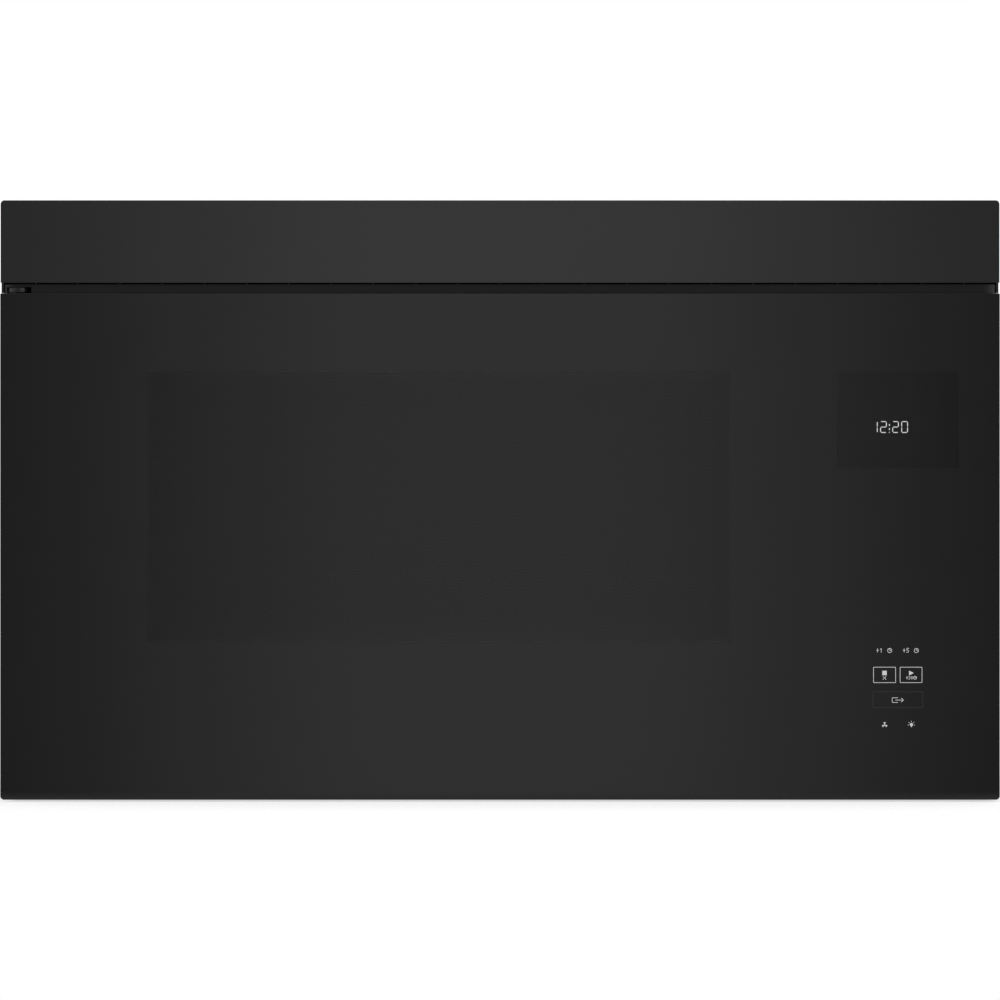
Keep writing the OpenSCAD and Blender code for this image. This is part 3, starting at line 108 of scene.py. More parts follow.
def range_in(tree, value, a, b, low=0, high=1, curve="LINEAR"):
    """Output of a Map Range node that takes a..b to low..high."""
    n = tree.nodes.new("ShaderNodeMapRange")
    n.interpolation_type = curve
    for key, v in (("Value", value), ("From Min", a), ("From Max", b), ("To Min", low), ("To Max", high)):
        feed(tree, n.inputs[key], v)
    return n.outputs[0]


def shader_mix_in(tree, fac, a, b):
    """Output of a Mix Shader node: shader a where fac is 0, and b where it is 1."""
    n = tree.nodes.new("ShaderNodeMixShader")
    for socket, value in zip(n.inputs, (fac, a, b)):
        feed(tree, socket, value)
    return n.outputs[0]


class Look:
    """One procedural material, built around a Principled shader in object space."""

    def __init__(self, name, rough=0.5, metal=0.0, **sockets):
        self.m = bpy.data.materials.new(name)
        self.m.use_nodes = True
        self.nt = self.m.node_tree
        self.p = self.nt.nodes["Principled BSDF"]
        self.set("Roughness", rough)
        self.set("Metallic", metal)
        for key, value in sockets.items():
            self.set(key.replace("_", " "), value)
        self.co = self.nt.nodes.new("ShaderNodeTexCoord").outputs["Object"]

    def set(self, socket, value):
        feed(self.nt, self.p.inputs[socket], value)

    def new(self, kind, **props):
        n = self.nt.nodes.new(kind)
        for k, v in props.items():
            setattr(n, k, v)
        return n

    def link(self, a, b):
        self.nt.links.new(a, b)

    def scaled(self, x, y, z):
        """Object coordinates, stretched along the axes."""
        n = self.new("ShaderNodeMapping")
        self.link(self.co, n.inputs["Vector"])
        n.inputs["Scale"].default_value = (x, y, z)
        return n.outputs[0]

    def noise(self, scale, detail=3.0, rough=0.5, at=None):
        n = self.new("ShaderNodeTexNoise")
        self.link(at or self.co, n.inputs["Vector"])
        n.inputs["Scale"].default_value = scale
        n.inputs["Detail"].default_value = detail
        n.inputs["Roughness"].default_value = rough
        return n.outputs["Fac"]

    def cells(self, scale, feature="F1", out="Distance"):
        n = self.new("ShaderNodeTexVoronoi", feature=feature)
        self.link(self.co, n.inputs["Vector"])
        n.inputs["Scale"].default_value = scale
        return n.outputs[out]

    def wave(self, scale, axis, distort=0.0):
        n = self.new("ShaderNodeTexWave", bands_direction=axis)
        self.link(self.co, n.inputs["Vector"])
        n.inputs["Scale"].default_value = scale
        n.inputs["Distortion"].default_value = distort
        return n.outputs["Fac"]

    def axis(self, name):
        n = self.new("ShaderNodeSeparateXYZ")
        self.link(self.co, n.inputs[0])
        return n.outputs[name]

    def fit(self, value, a, b, low, high):
        return range_in(self.nt, value, a, b, low, high)

    def mix(self, fac, a, b):
        return mix_in(self.nt, fac, a, b)

    def color(self, value):
        self.set("Base Color", value)

    def roughness(self, value):
        self.set("Roughness", value)

    def tones(self, a, b, scale):
        """A colour that drifts between two tones."""
        self.color(self.mix(self.fit(self.noise(scale, 4.0), 0.35, 0.65, 0, 1), a, b))

    def uneven(self, scale, detail, rough):
        """A gloss that drifts between two roughnesses."""
        self.roughness(self.fit(self.noise(scale, detail), 0.3, 0.7, *rough))

    def smeared(self, rough, smear):
        """The gloss of wiped glass: clean, with patches that are rougher by smear."""
        self.roughness(self.fit(self.noise(14, 5, 0.6), 0.45, 0.8, rough, rough + smear))

    def relief(self, height, distance, strength):
        n = self.new("ShaderNodeBump")
        n.inputs["Strength"].default_value = strength
        n.inputs["Distance"].default_value = distance
        self.link(height, n.inputs["Height"])
        self.link(n.outputs[0], self.p.inputs["Normal"])


# Materials

def plastic(name, a, b, rough=(0.38, 0.5), **sockets):
    """Moulded plastic: a faint spark-eroded grain and slightly uneven gloss."""
    k = Look(name, **sockets)
    k.tones(a, b, 9)
    k.uneven(55, 3, rough)
    k.relief(k.noise(1600, 2, 0.6), 0.00003, 0.35)
    return k.m


def powder(name, a, b, rough, **sockets):
    """Powder coat over sheet steel: orange peel, with a slow drift in gloss."""
    k = Look(name, **sockets)
    k.tones(a, b, 6)
    k.uneven(18, 4, rough)
    k.relief(k.noise(700, 3, 0.55), 0.00008, 0.3)
    return k.m


def zinc(name, tone, spangle, rough):
    """Galvanised sheet: crystal spangle, dull patches and faint rolling lines."""
    k = Look(name, metal=0.9)
    grey = k.new("ShaderNodeSeparateColor")
    k.link(k.cells(spangle, out="Color"), grey.inputs[0])
    dark = (tone * 0.8,) * 2 + (tone * 0.82,)
    light = (tone * 1.12,) * 2 + (tone * 1.15,)
    k.color(k.mix(k.fit(grey.outputs[0], 0, 1, 0.15, 0.85), dark, light))
    k.roughness(k.fit(grey.outputs[1], 0, 1, *rough))
    k.relief(k.noise(420, 3, at=k.scaled(0.25, 1, 1)), 0.00003, 0.3)
    return k.m


def brushed(name, a, b, along, rough, metal=1.0):
    """Bare metal with fine lines, drawn along the axis that has the smallest scale."""
    k = Look(name, metal=metal)
    lines = k.noise(60, 5, 0.7, at=k.scaled(*along))
    k.color(k.mix(k.fit(lines, 0.3, 0.7, 0, 1), a, b))
    k.roughness(k.fit(lines, 0.3, 0.7, *rough))
    k.relief(lines, 0.00002, 0.4)
    return k.m


def circuit(name, node, depth, parts_behind):
    """Circuit board: green resist with tracks, and parts of other colours on one side of its face.

    The face lies at depth behind the front of the node's box.
    """
    k = Look(name, rough=0.4)
    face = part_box(node)[0].y + depth
    blur = 0.00005
    tracks = k.fit(k.cells(170, "DISTANCE_TO_EDGE"), 0.02, 0.05, 1, 0)
    green = k.mix(tracks, (0.012, 0.075, 0.03), (0.03, 0.15, 0.06))
    pads = k.fit(k.cells(260), 0.12, 0.16, 1, 0)
    green = k.mix(pads, green, (0.55, 0.5, 0.42))
    part = k.mix(k.fit(k.cells(38, out="Color"), 0.45, 0.55, 0, 1), (0.02, 0.02, 0.022), (0.3, 0.29, 0.26))
    side = k.fit(k.axis("Y"), face - blur, face + blur, *((0, 1) if parts_behind else (1, 0)))
    k.color(k.mix(side, green, part))
    k.uneven(90, 3, (0.3, 0.5))
    k.relief(tracks, 0.00004, 0.5)
    return k.m


def glass(name, tint, rough, smear):
    """Clear glass with a faint tint."""
    k = Look(name, rough=rough, Transmission_Weight=1.0, IOR=1.5)
    k.color(k.mix(k.fit(k.noise(3, 2), 0.3, 0.7, 0, 1), tint, tuple(c * 0.98 for c in tint)))
    k.smeared(rough, smear)
    return k.m


def black_glass():
    """Front of the door's glass where black print lies behind it."""
    k = Look("door_glass_black", rough=0.0, IOR=1.5)
    k.tones((0.0038, 0.0038, 0.0039), (0.0043, 0.0043, 0.0044), 40)
    k.smeared(0.0, 0.008)
    return k.m


def speckled(name, base, dots, scale, amount, rough):
    """Vitreous enamel or glass ceramic: fine flecks in a glossy ground."""
    k = Look(name)
    fleck = k.fit(k.cells(scale), amount, amount + 0.06, 1, 0)
    some = k.fit(k.noise(scale * 0.6, 2), 0.5, 0.56, 0, 1)
    ground = k.mix(k.fit(k.noise(12, 4), 0.35, 0.65, 0, 1), base, tuple(c * 0.93 for c in base))
    k.color(k.mix(math_in(k.nt, "MULTIPLY", fleck, some), ground, dots))
    k.uneven(30, 4, rough)
    k.relief(k.noise(260, 2), 0.00003, 0.25)
    return k.m


def vent_paint():
    """Glossy black paint of the vent panel."""
    k = Look("vent_panel_paint", rough=0.05, Specular_IOR_Level=0.5)
    k.tones((0.012, 0.012, 0.0124), (0.0132, 0.0132, 0.0136), 5)
    k.uneven(22, 4, (0.03, 0.06))
    k.relief(k.noise(900, 2), 0.000004, 0.3)
    return k.m


def dark_layer(name, a, b, scale, grain=None, **sockets):
    """Print, film or a ground edge of the glass, with a grain of a scale, a depth and a strength."""
    k = Look(name, **sockets)
    k.tones(a, b, scale)
    if grain:
        fineness, depth, strength = grain
        k.relief(k.noise(fineness, 2), depth, strength)
    return k.m


def ink(name, tone, glow):
    """Ink of the legends, or the light of the digits; on the printed legends the glow is painted light."""
    k = Look(name, rough=0.55)
    k.tones((tone,) * 3, (tone * 0.94,) * 3, 900)
    if glow:
        k.set("Emission Color", (1.0, 1.0, 1.0))
        k.set("Emission Strength", glow)
    return k.m


def winding_wire():
    """Copper in the lower coil and lacquered wire in the upper one."""
    upper_from = 0.08
    k = Look("windings", rough=0.4, metal=0.75)
    turns = k.wave(520, "Z")
    lower = k.mix(turns, (0.25, 0.07, 0.03), (0.5, 0.19, 0.08))
    upper = k.mix(turns, (0.42, 0.27, 0.1), (0.62, 0.42, 0.2))
    k.color(k.mix(k.fit(k.axis("Z"), upper_from, upper_from + 0.0002, 0, 1), lower, upper))
    k.relief(turns, 0.0002, 0.8)
    return k.m


def laminated_steel():
    """Edges of the stacked sheets of the transformer's core."""
    k = Look("laminated_steel", rough=0.5, metal=0.8)
    sheets = k.wave(600, "Y", 0.4)
    k.color(k.mix(sheets, (0.06, 0.062, 0.066), (0.15, 0.15, 0.155)))
    k.relief(sheets, 0.0001, 0.7)
    return k.m


def charcoal_granules():
    k = Look("charcoal_granules", rough=0.9)
    grain = k.cells(420)
    k.color(k.mix(grain, (0.03, 0.03, 0.032), (0.008, 0.008, 0.009)))
    k.relief(grain, 0.0012, 0.9)
    return k.m


def solenoid_tape():
    k = Look("solenoid_tape", rough=0.35)
    k.tones((0.3, 0.13, 0.02), (0.42, 0.2, 0.035), 30)
    k.relief(k.wave(330, "Z"), 0.0001, 0.4)
    return k.m


def filter_wool():
    """Crossing metal threads inside the grease filters, with painted shade: the gaps between the threads are
    near black.
    """
    k = Look("filter_pad_metal", rough=0.5, metal=0.8)
    weave = k.cells(330, "DISTANCE_TO_EDGE")
    # Bright threads lie on the cell edges; the near-black cell middles are painted shade in the gaps.
    k.color(k.mix(k.fit(weave, 0.0, 0.2, 0, 1), (0.5, 0.51, 0.52), (0.03, 0.03, 0.032)))
    k.relief(k.fit(weave, 0.0, 0.25, 1, 0), 0.0006, 0.9)
    return k.m


panel = vent_paint()
frit = dark_layer("black_frit", (0.0031, 0.0031, 0.0032), (0.0036, 0.0036, 0.0037), 40,
                  (2500, 0.00001, 0.2), rough=0.6, Specular_IOR_Level=0.1)
film = dark_layer("window_film", (0.0014, 0.0014, 0.0014), (0.0018, 0.0018, 0.0019), 60,
                  rough=0.4, Specular_IOR_Level=0.0, Alpha=0.9)
display_film = dark_layer("display_film", (0.0042, 0.0042, 0.0042), (0.0048, 0.0048, 0.0049), 60,
                          rough=0.4, Specular_IOR_Level=0.0, Alpha=0.93)
ground_edge = dark_layer("glass_edge_blackened", (0.006, 0.006, 0.0065), (0.009, 0.009, 0.0095), 400,
                         (3000, 0.00002, 0.3), rough=0.5, Specular_IOR_Level=0.35)
clear = glass("door_glass_clear", (0.995, 0.998, 0.996), 0.0, 0.008)
blackened = black_glass()
inner_glass = glass("inner_window_glass", (0.93, 0.95, 0.94), 0.01, 0.03)
lens = glass("lamp_lens", (0.9, 0.92, 0.92), 0.32, 0.08)

digits_ink = ink("clock_light", 0.5, 0.44)
# The legends are printed ink; their small emission is a painted glow, not a lamp.
legend_ink_painted_glow = ink("legend_white_painted_glow", 0.6, 0.085)
faint_ink = ink("legend_grey", 0.019, 0.0)

case_black = powder("case_powder_black", (0.0125, 0.0125, 0.013), (0.016, 0.016, 0.0165), (0.45, 0.5))
bracket_black = powder("bracket_coat", (0.008, 0.008, 0.0084), (0.0105, 0.0105, 0.011), (0.3, 0.36),
                       Specular_IOR_Level=0.4)
front_grey = powder("front_plate_coat", (0.016, 0.016, 0.017), (0.022, 0.022, 0.023), (0.35, 0.45))
base_grey = powder("base_coat", (0.026, 0.026, 0.028), (0.034, 0.034, 0.036), (0.4, 0.5))
screen_coat = powder("screen_coat", (0.018, 0.018, 0.019), (0.026, 0.026, 0.027), (0.35, 0.45), metal=0.4)

door_plastic = plastic("door_plastic_black", (0.0085, 0.0085, 0.009), (0.0115, 0.0115, 0.012))
trim_plastic = plastic("trim_plastic_black", (0.011, 0.011, 0.0115), (0.0145, 0.0145, 0.015), (0.32, 0.42))
grille_plastic = plastic("grille_plastic_black", (0.005, 0.005, 0.0053), (0.0062, 0.0062, 0.0066),
                         (0.3, 0.36), Specular_IOR_Level=0.36)
black_nylon = plastic("nylon_black", (0.012, 0.012, 0.013), (0.017, 0.017, 0.018), (0.45, 0.6))
white_nylon = plastic("nylon_natural", (0.62, 0.61, 0.57), (0.7, 0.69, 0.66), (0.4, 0.55))
grey_plastic = plastic("plastic_grey", (0.16, 0.165, 0.17), (0.2, 0.205, 0.21), (0.4, 0.5))
red_plastic = plastic("plastic_red", (0.4, 0.02, 0.012), (0.46, 0.03, 0.02), (0.35, 0.45))

zinc_bright = zinc("galvanised_rear", 0.62, 130, (0.3, 0.5))
zinc_dull = zinc("galvanised_inner", 0.5, 170, (0.38, 0.58))
zinc_plate = zinc("galvanised_wall", 0.66, 95, (0.28, 0.45))
steel_dark = brushed("steel_bracket", (0.045, 0.045, 0.048), (0.065, 0.065, 0.068), (30, 30, 1),
                     (0.35, 0.5), 0.85)
steel_bright = brushed("steel_plated", (0.5, 0.5, 0.51), (0.66, 0.66, 0.67), (4, 30, 30), (0.22, 0.36))
aluminium = brushed("aluminium_filter", (0.62, 0.63, 0.64), (0.76, 0.77, 0.78), (2, 26, 26), (0.25, 0.4))
mesh_metal = brushed("expanded_aluminium", (0.6, 0.61, 0.62), (0.8, 0.81, 0.82), (10, 10, 10), (0.2, 0.35))
screw_black = brushed("screw_blackened", (0.03, 0.03, 0.032), (0.05, 0.05, 0.052), (8, 8, 8),
                      (0.3, 0.45), 0.9)
screw_zinc = brushed("screw_zinc", (0.45, 0.45, 0.44), (0.62, 0.62, 0.6), (8, 8, 8), (0.25, 0.4))
wool = filter_wool()
enamel = speckled("cavity_enamel", (0.31, 0.315, 0.32), (0.08, 0.082, 0.085), 1100, 0.12, (0.16, 0.26))
ceramic = speckled("ceramic_floor", (0.66, 0.64, 0.58), (0.3, 0.27, 0.22), 700, 0.1, (0.1, 0.18))

# How far the face of each circuit board lies behind the front of the node's box
FILTER_BOARD_FACE = 0.0159
POWER_BOARD_FACE = 0.0097
TOUCH_BOARD_FACE = 0.00165

NODE_LOOKS = {
    "base_plate": base_grey, "front_plate": front_grey, "rear_panel": zinc_bright, "wall_plate": zinc_plate,
    "cavity_liner": enamel, "ceramic_floor": ceramic, "cavity_lamp": white_nylon, "waveguide": zinc_dull,
    "stirrer_motor": steel_bright, "magnetron": steel_bright, "transformer_core": laminated_steel(),
    "transformer_windings": winding_wire(), "capacitor": aluminium,
    "noise_filter_board": circuit("filter_board", "noise_filter_board", FILTER_BOARD_FACE, False),
    "power_board": circuit("power_board", "power_board", POWER_BOARD_FACE, True),
    "fan_shroud": white_nylon, "fan_motor": steel_dark, "air_guide": zinc_dull, "blower_housing": zinc_dull,
    "blower_motor": steel_dark, "damper_frame": zinc_bright, "charcoal_filter": charcoal_granules(),
    "plenum_cover": zinc_dull, "task_lamps": white_nylon, "latch_board": white_nylon,
    "interlock_switches": black_nylon, "latch_solenoid": solenoid_tape(), "cord_bushing": black_nylon,
    "thermal_cutouts": steel_bright, "mount_nuts": screw_zinc, "display_module": black_nylon,
    "touch_board": circuit("touch_board", "touch_board", TOUCH_BOARD_FACE, True),
    "control_cover": black_nylon, "latch_hooks": grey_plastic, "hinge_bushes": white_nylon,
    "strike_slider": grey_plastic, "stirrer": aluminium, "cooling_fan": black_nylon,
    "blower_wheels": black_nylon, "damper_flap": zinc_bright, "switch_plunger_lower": red_plastic,
    "switch_plunger_middle": red_plastic, "switch_plunger_upper": red_plastic,
    "upper_hinge_bracket": bracket_black, "lower_hinge_bracket": bracket_black,
    "vent_panel_screws": screw_black, "door_screws": screw_black,
}
for name, m in NODE_LOOKS.items():
    mesh = nodes[name].data
    mesh.materials.clear()
    mesh.materials.append(m)


# Mesh tools

# Edges that turn by more than this are sharp, and faces that turn by less than the other are one flat face
SHARP = math.radians(38)
FLAT_ENOUGH = math.radians(0.4)


def put(ob, body, slot, *replaced):
    """A piece rides on a body and stands for the nodes that it replaces, which are hidden; slot is not used."""
    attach(ob, body)
    if replaced:
        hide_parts(*replaced)


def added(name, data):
    ob = bpy.data.objects.new(name, data)
    bpy.context.scene.collection.objects.link(ob)
    return ob


def made(name, verts, faces, looks, slots=None, smooth=False):
    mesh = bpy.data.meshes.new(name)
    mesh.from_pydata([tuple(v) for v in verts], [], faces)
    for m in looks:
        mesh.materials.append(m)
    if slots:
        mesh.polygons.foreach_set("material_index", slots)
    mesh.validate()
    if smooth:
        mesh.shade_smooth()
    return added(name, mesh)


def soft_edges(node, name, m, width, drop=None):
    """A copy of a CAD node's mesh with its sharp edges rounded, as folded or moulded edges are."""
    bm = bmesh.new()
    bm.from_mesh(nodes[node].data)
    bmesh.ops.remove_doubles(bm, verts=bm.verts, dist=2e-6)
    bmesh.ops.dissolve_degenerate(bm, edges=bm.edges, dist=1e-6)
    if drop:
        dropped = [f for f in bm.faces if drop(f.calc_center_median(), f.normal)]
        bmesh.ops.delete(bm, geom=dropped, context="FACES")
    bmesh.ops.dissolve_limit(bm, angle_limit=FLAT_ENOUGH, verts=bm.verts, edges=bm.edges)
    sharp = [e for e in bm.edges if len(e.link_faces) == 2 and e.calc_face_angle(0) > SHARP
             and e.calc_length() > 1.2 * width]
    bmesh.ops.bevel(bm, geom=sharp, offset=width, offset_type="OFFSET", segments=2, profile=0.5,
                    affect="EDGES", clamp_overlap=True)
    bmesh.ops.dissolve_degenerate(bm, edges=bm.edges, dist=1e-6)
    bmesh.ops.triangulate(bm, faces=[f for f in bm.faces if len(f.verts) > 4])
    mesh = bpy.data.meshes.new(name)
    bm.to_mesh(mesh)
    bm.free()
    mesh.materials.clear()
    mesh.materials.append(m)
    for p in mesh.polygons:
        p.material_index = 0
    mesh.shade_smooth()
    mesh.set_sharp_from_angle(angle=SHARP)
    ob = added(name, mesh)
    ob.modifiers.new("by_angle", "WEIGHTED_NORMAL").keep_sharp = True
    return ob


def rounded(x0, x1, z0, z1, radius, steps=6, top=None):
    """Outline of a rounded rectangle, anticlockwise from the lower right as seen from the front."""
    pts = []
    top = radius if top is None else top
    for right, high, start in ((1, 0, -90), (1, 1, 0), (0, 1, 90), (0, 0, 180)):
        r = top if high else radius
        cx = x1 - r if right else x0 + r
        cz = z1 - r if high else z0 + r
        for i in range(steps + 1):
            a = math.radians(start + 90 * i / steps)
            pts.append((cx + r * math.cos(a), cz + r * math.sin(a)))
    return pts


def around(box, d):
    """A box of left, right, lower and upper edges, grown by d."""
    return box[0] - d, box[1] + d, box[2] - d, box[3] + d


class Shape:
    """Vertices, faces and slots of one mesh, gathered part by part."""

    def __init__(self):
        self.v, self.f, self.s = [], [], []

    def add(self, verts, faces, slot=0):
        k = len(self.v)
        self.v += verts
        self.f += [tuple(k + i for i in face) for face in faces]
        self.s += [slot] * len(faces)

    def bar(self, x0, x1, y0, y1, z0, z1, slot=0):
        verts = [(x, y, z) for z in (z0, z1) for x, y in ((x0, y0), (x1, y0), (x1, y1), (x0, y1))]
        sides = [(i, (i + 1) % 4, 4 + (i + 1) % 4, 4 + i) for i in range(4)]
        self.add(verts, [(3, 2, 1, 0), (4, 5, 6, 7)] + sides, slot)

    def object(self, name, looks, smooth=False):
        return made(name, self.v, self.f, looks, self.s, smooth)


class Flat(Shape):
    """Flat print lying in a plane of constant Y, facing the front."""

    def __init__(self, y):
        super().__init__()
        self.y = y

    def face(self, pts, slot=0):
        self.add([(x, self.y, z) for x, z in pts], [range(len(pts))], slot)

    def rect(self, x0, x1, z0, z1, slot=0):
        self.face([(x0, z0), (x1, z0), (x1, z1), (x0, z1)], slot)

    def line(self, pts, w):
        """A drawn stroke with square joints."""
        for (ax, az), (bx, bz) in zip(pts, pts[1:]):
            d = math.hypot(bx - ax, bz - az)
            ux, uz = (bx - ax) / d * w / 2, (bz - az) / d * w / 2
            ax, az, bx, bz = ax - ux, az - uz, bx + ux, bz + uz
            self.face([(ax + uz, az - ux), (bx + uz, bz - ux), (bx - uz, bz + ux), (ax - uz, az + ux)])

    def disc(self, x, z, r, n):
        turns = [2 * math.pi * i / n for i in range(n)]
        self.face([(x + r * math.cos(a), z + r * math.sin(a)) for a in turns])

    def ring(self, inner, outer, slot=0):
        n = len(inner)
        quads = [(i, (i + 1) % n, n + (i + 1) % n, n + i) for i in range(n)]
        self.add([(x, self.y, z) for x, z in outer + inner], quads, slot)

    def sheet(self, edge, columns, slot=0, inside=None):
        """Fills a rounded outline but for its openings, which stay open or get the slot inside."""
        z0, z1 = min(z for x, z in edge), max(z for x, z in edge)
        half = len(edge) // 2
        reached = columns[0][0]
        self.face(edge[half:] + [(reached, z0), (reached, z1)], slot)
        for x0, x1, openings in columns:
            if x0 > reached:
                self.rect(reached, x0, z0, z1, slot)
            low = z0
            for bottom, top in openings:
                self.rect(x0, x1, low, bottom, slot)
                if inside is not None:
                    self.rect(x0, x1, bottom, top, inside)
                low = top
            self.rect(x0, x1, low, z1, slot)
            reached = x1
        self.face(edge[:half] + [(reached, z1), (reached, z0)], slot)

    def seen_at(self, y):
        """Moves the print to another plane, where it still covers the same pixels of the photograph."""
        k = (y - EYE_Y) / (self.y - EYE_Y)
        self.v = [(x * k, y, EYE_Z + (z - EYE_Z) * k) for x, _, z in self.v]
        self.y = y


def slab(name, lo, hi, r, top, edge, looks, columns=()):
    """Plate with rounded corners and a small arris front and back; its ground edges have the second look.

    Where columns of openings are given, the front around them has the third look.
    """
    verts = []
    (x0, y0, z0), (x1, y1, z1) = lo, hi
    slope = 0.3 * edge
    front = [(y0, edge), (y0 + slope, slope), (y0 + edge, 0)]
    rear = [(y1 - edge, 0), (y1 - slope, slope), (y1, edge)]
    rows = front + rear
    for y, d in rows:
        verts += [(x, y, z) for x, z in rounded(x0 + d, x1 - d, z0 + d, z1 - d, r - d, top=top - d)]
    n = len(verts) // len(rows)
    faces = [tuple(reversed(range(len(verts) - n, len(verts))))]
    slots = [0]
    if columns:
        face = Flat(y0)
        face.sheet([(x, z) for x, y, z in verts[:n]], columns, 2, 0)
        faces += [tuple(i + len(verts) for i in f) for f in face.f]
        slots += face.s
        verts += face.v
    else:
        faces.append(tuple(range(n)))
        slots.append(0)
    caps = len(faces)
    for k in range(len(rows) - 1):
        for i in range(n):
            j = (i + 1) % n
            faces.append((k * n + j, k * n + i, (k + 1) * n + i, (k + 1) * n + j))
    slots += [1] * (len(faces) - caps)
    ob = made(name, verts, faces, looks, slots, smooth=True)
    for cap in ob.data.polygons[:caps]:
        cap.use_smooth = False
    return ob


# Door glass

GLASS_R = 0.003
GLASS_TOP_R = 0.001
ARRIS = 0.0003
g0, g1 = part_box("door_glass")
# The print lies just inside the back of the glass, with the digits before it and the film behind it
back = g1.y - 0.00012
DIGITS_BEFORE = 0.0001
FILM_BEHIND = 0.00006
# The front of the glass lies this far behind the front of the door's box, with the key legends on it
LEGEND_LIFT = 0.00004

# Clear areas of the print, as left, right, lower and upper edges
WINDOW = (-0.2677, 0.1749, 0.1215, 0.3265)
SHOW = (0.2563, 0.3483, 0.2533, 0.3263)
FILM_LAP = 0.001

# Dots that fade out from the edge of the window: their spacing, and the radius in each row
DOT_PITCH = 0.0013
DOT_MARGIN = 0.0007
DOT_RADII = (0.00052, 0.0004, 0.00026)


def column(box):
    """Left, right and the openings of a column with one clear area."""
    return box[0], box[1], [(box[2], box[3])]


clear_columns = [column(WINDOW), column(SHOW)]


def printed_back():
    """Black print on the back of the glass, open at the window and the display, with a fading dot border."""
    f = Flat(back)
    x0, x1, z0, z1 = g0.x + ARRIS, g1.x - ARRIS, g0.z + ARRIS, g1.z - ARRIS
    wx0, wx1, wz0, wz1 = WINDOW
    f.sheet(rounded(x0, x1, z0, z1, GLASS_R - ARRIS, top=GLASS_TOP_R - ARRIS), clear_columns)
    across, down = int((wx1 - wx0) / DOT_PITCH), int((wz1 - wz0) / DOT_PITCH)
    for row, r in enumerate(DOT_RADII):
        d = DOT_MARGIN + row * DOT_PITCH
        shift = 0.5 * (row % 2)
        for i in range(across):
            x = wx0 + (i + 0.5 + shift) * (wx1 - wx0) / across
            for z in (wz0 + d, wz1 - d):
                f.disc(min(x, wx1 - r), z, r, 6)
        for i in range(4, down - 4):
            z = wz0 + (i + 0.5 + shift) * (wz1 - wz0) / down
            for x in (wx0 + d, wx1 - d):
                f.disc(x, z, r, 6)
    return f.object("door_print", [frit])


def tinted_film():
    """Dark film behind the window and the display."""
    f = Flat(back + FILM_BEHIND)
    f.rect(*around(WINDOW, FILM_LAP))
    f.rect(*around(SHOW, FILM_LAP), 1)
    return f.object("door_window_film", [film, display_film])


glass_sheet = slab("door_glass_sheet", (g0.x, g0.y + LEGEND_LIFT, g0.z), g1, GLASS_R, GLASS_TOP_R, ARRIS,
                   [clear, ground_edge, blackened], clear_columns)
put(glass_sheet, "door", "door_glass", "door_glass")
put(printed_back(), "door", "door_glass")
put(tinted_film(), "door", "door_glass")


# Display digits

# Places in the photograph, in pixels: each digit's left and right, and their upper and lower rows
CLOCK_DIGITS = (("1", 871.35, 877.15), ("2", 880.45, 886.25), ("2", 892.6, 898.25), ("0", 901.6, 907.4))
CLOCK_ROWS = (421.6, 432.5)
COLON_COL = 889.25
COLON_ROWS = (425.0, 429.1)
DOT_ROW = 432.3
CLOCK_STROKE = 0.00067
# Half the width and half the height of the colon's marks, and half the height of the dot below them
COLON_HALF = 0.00034
COLON_TALL = 0.0007
DOT_TALL = 0.0003
SEGMENTS = {"1": "bc", "2": "abged", "0": "abcdef"}


def seven(f, char, x, z, w, h, t):
    """One seven-segment digit with its lower left corner at (x, z)."""
    m = z + h / 2
    a = t * 0.62
    lines = {"a": [(x + a, z + h), (x + w - a, z + h)], "b": [(x + w, z + h - a), (x + w, m + a)],
             "c": [(x + w, m - a), (x + w, z + a)], "d": [(x + a, z), (x + w - a, z)],
             "e": [(x, m - a), (x, z + a)], "f": [(x, z + h - a), (x, m + a)],
             "g": [(x + a, m), (x + w - a, m)]}
    for s in SEGMENTS[char]:
        (ax, az), (bx, bz) = lines[s]
        d = math.hypot(bx - ax, bz - az)
        ux, uz = (bx - ax) / d, (bz - az) / d
        e = t / 2
        outline = [(-0.4 * e, 0), (0.3 * e, -e), (d - 0.3 * e, -e), (d + 0.4 * e, 0), (d - 0.3 * e, e),
                   (0.3 * e, e)]
        f.face([(ax + along * ux - over * uz, az + along * uz + over * ux) for along, over in outline])


def clock_digits():
    f = Flat(back - DIGITS_BEFORE)
    top, bottom = (pz(row) for row in CLOCK_ROWS)
    for char, left, right in CLOCK_DIGITS:
        seven(f, char, px(left), bottom, px(right) - px(left), top - bottom, CLOCK_STROKE)
    x = px(COLON_COL)
    for row, tall in ((COLON_ROWS[0], COLON_TALL), (COLON_ROWS[1], COLON_TALL), (DOT_ROW, DOT_TALL)):
        f.rect(x - COLON_HALF, x + COLON_HALF, pz(row) - tall, pz(row) + tall)
    return f.object("clock_digits", [digits_ink])


put(clock_digits(), "door", "display_module")


# Key legends

# Strokes of the characters, in a cell that is 1 wide and 1 high
GLYPHS = {
    "+": [[(0.1, 0.5), (0.9, 0.5)], [(0.5, 0.1), (0.5, 0.9)]],
    "1": [[(0.2, 0.78), (0.55, 1), (0.55, 0)]],
    "5": [[(0.9, 1), (0.15, 1), (0.1, 0.55), (0.6, 0.62), (0.9, 0.4), (0.75, 0.05), (0.1, 0.05)]],
    "3": [[(0.1, 0.95), (0.6, 1), (0.85, 0.75), (0.5, 0.52), (0.88, 0.28), (0.6, 0), (0.1, 0.05)]],
    "0": [[(0.5, 1), (0.15, 0.75), (0.15, 0.25), (0.5, 0), (0.85, 0.25), (0.85, 0.75), (0.5, 1)]],
}
THIN = 0.0004
FAINT = 1
# Heights of the numbers above the keys and of the one on the start key
PLUS_TALL = 0.0031
TIME_TALL = 0.0022

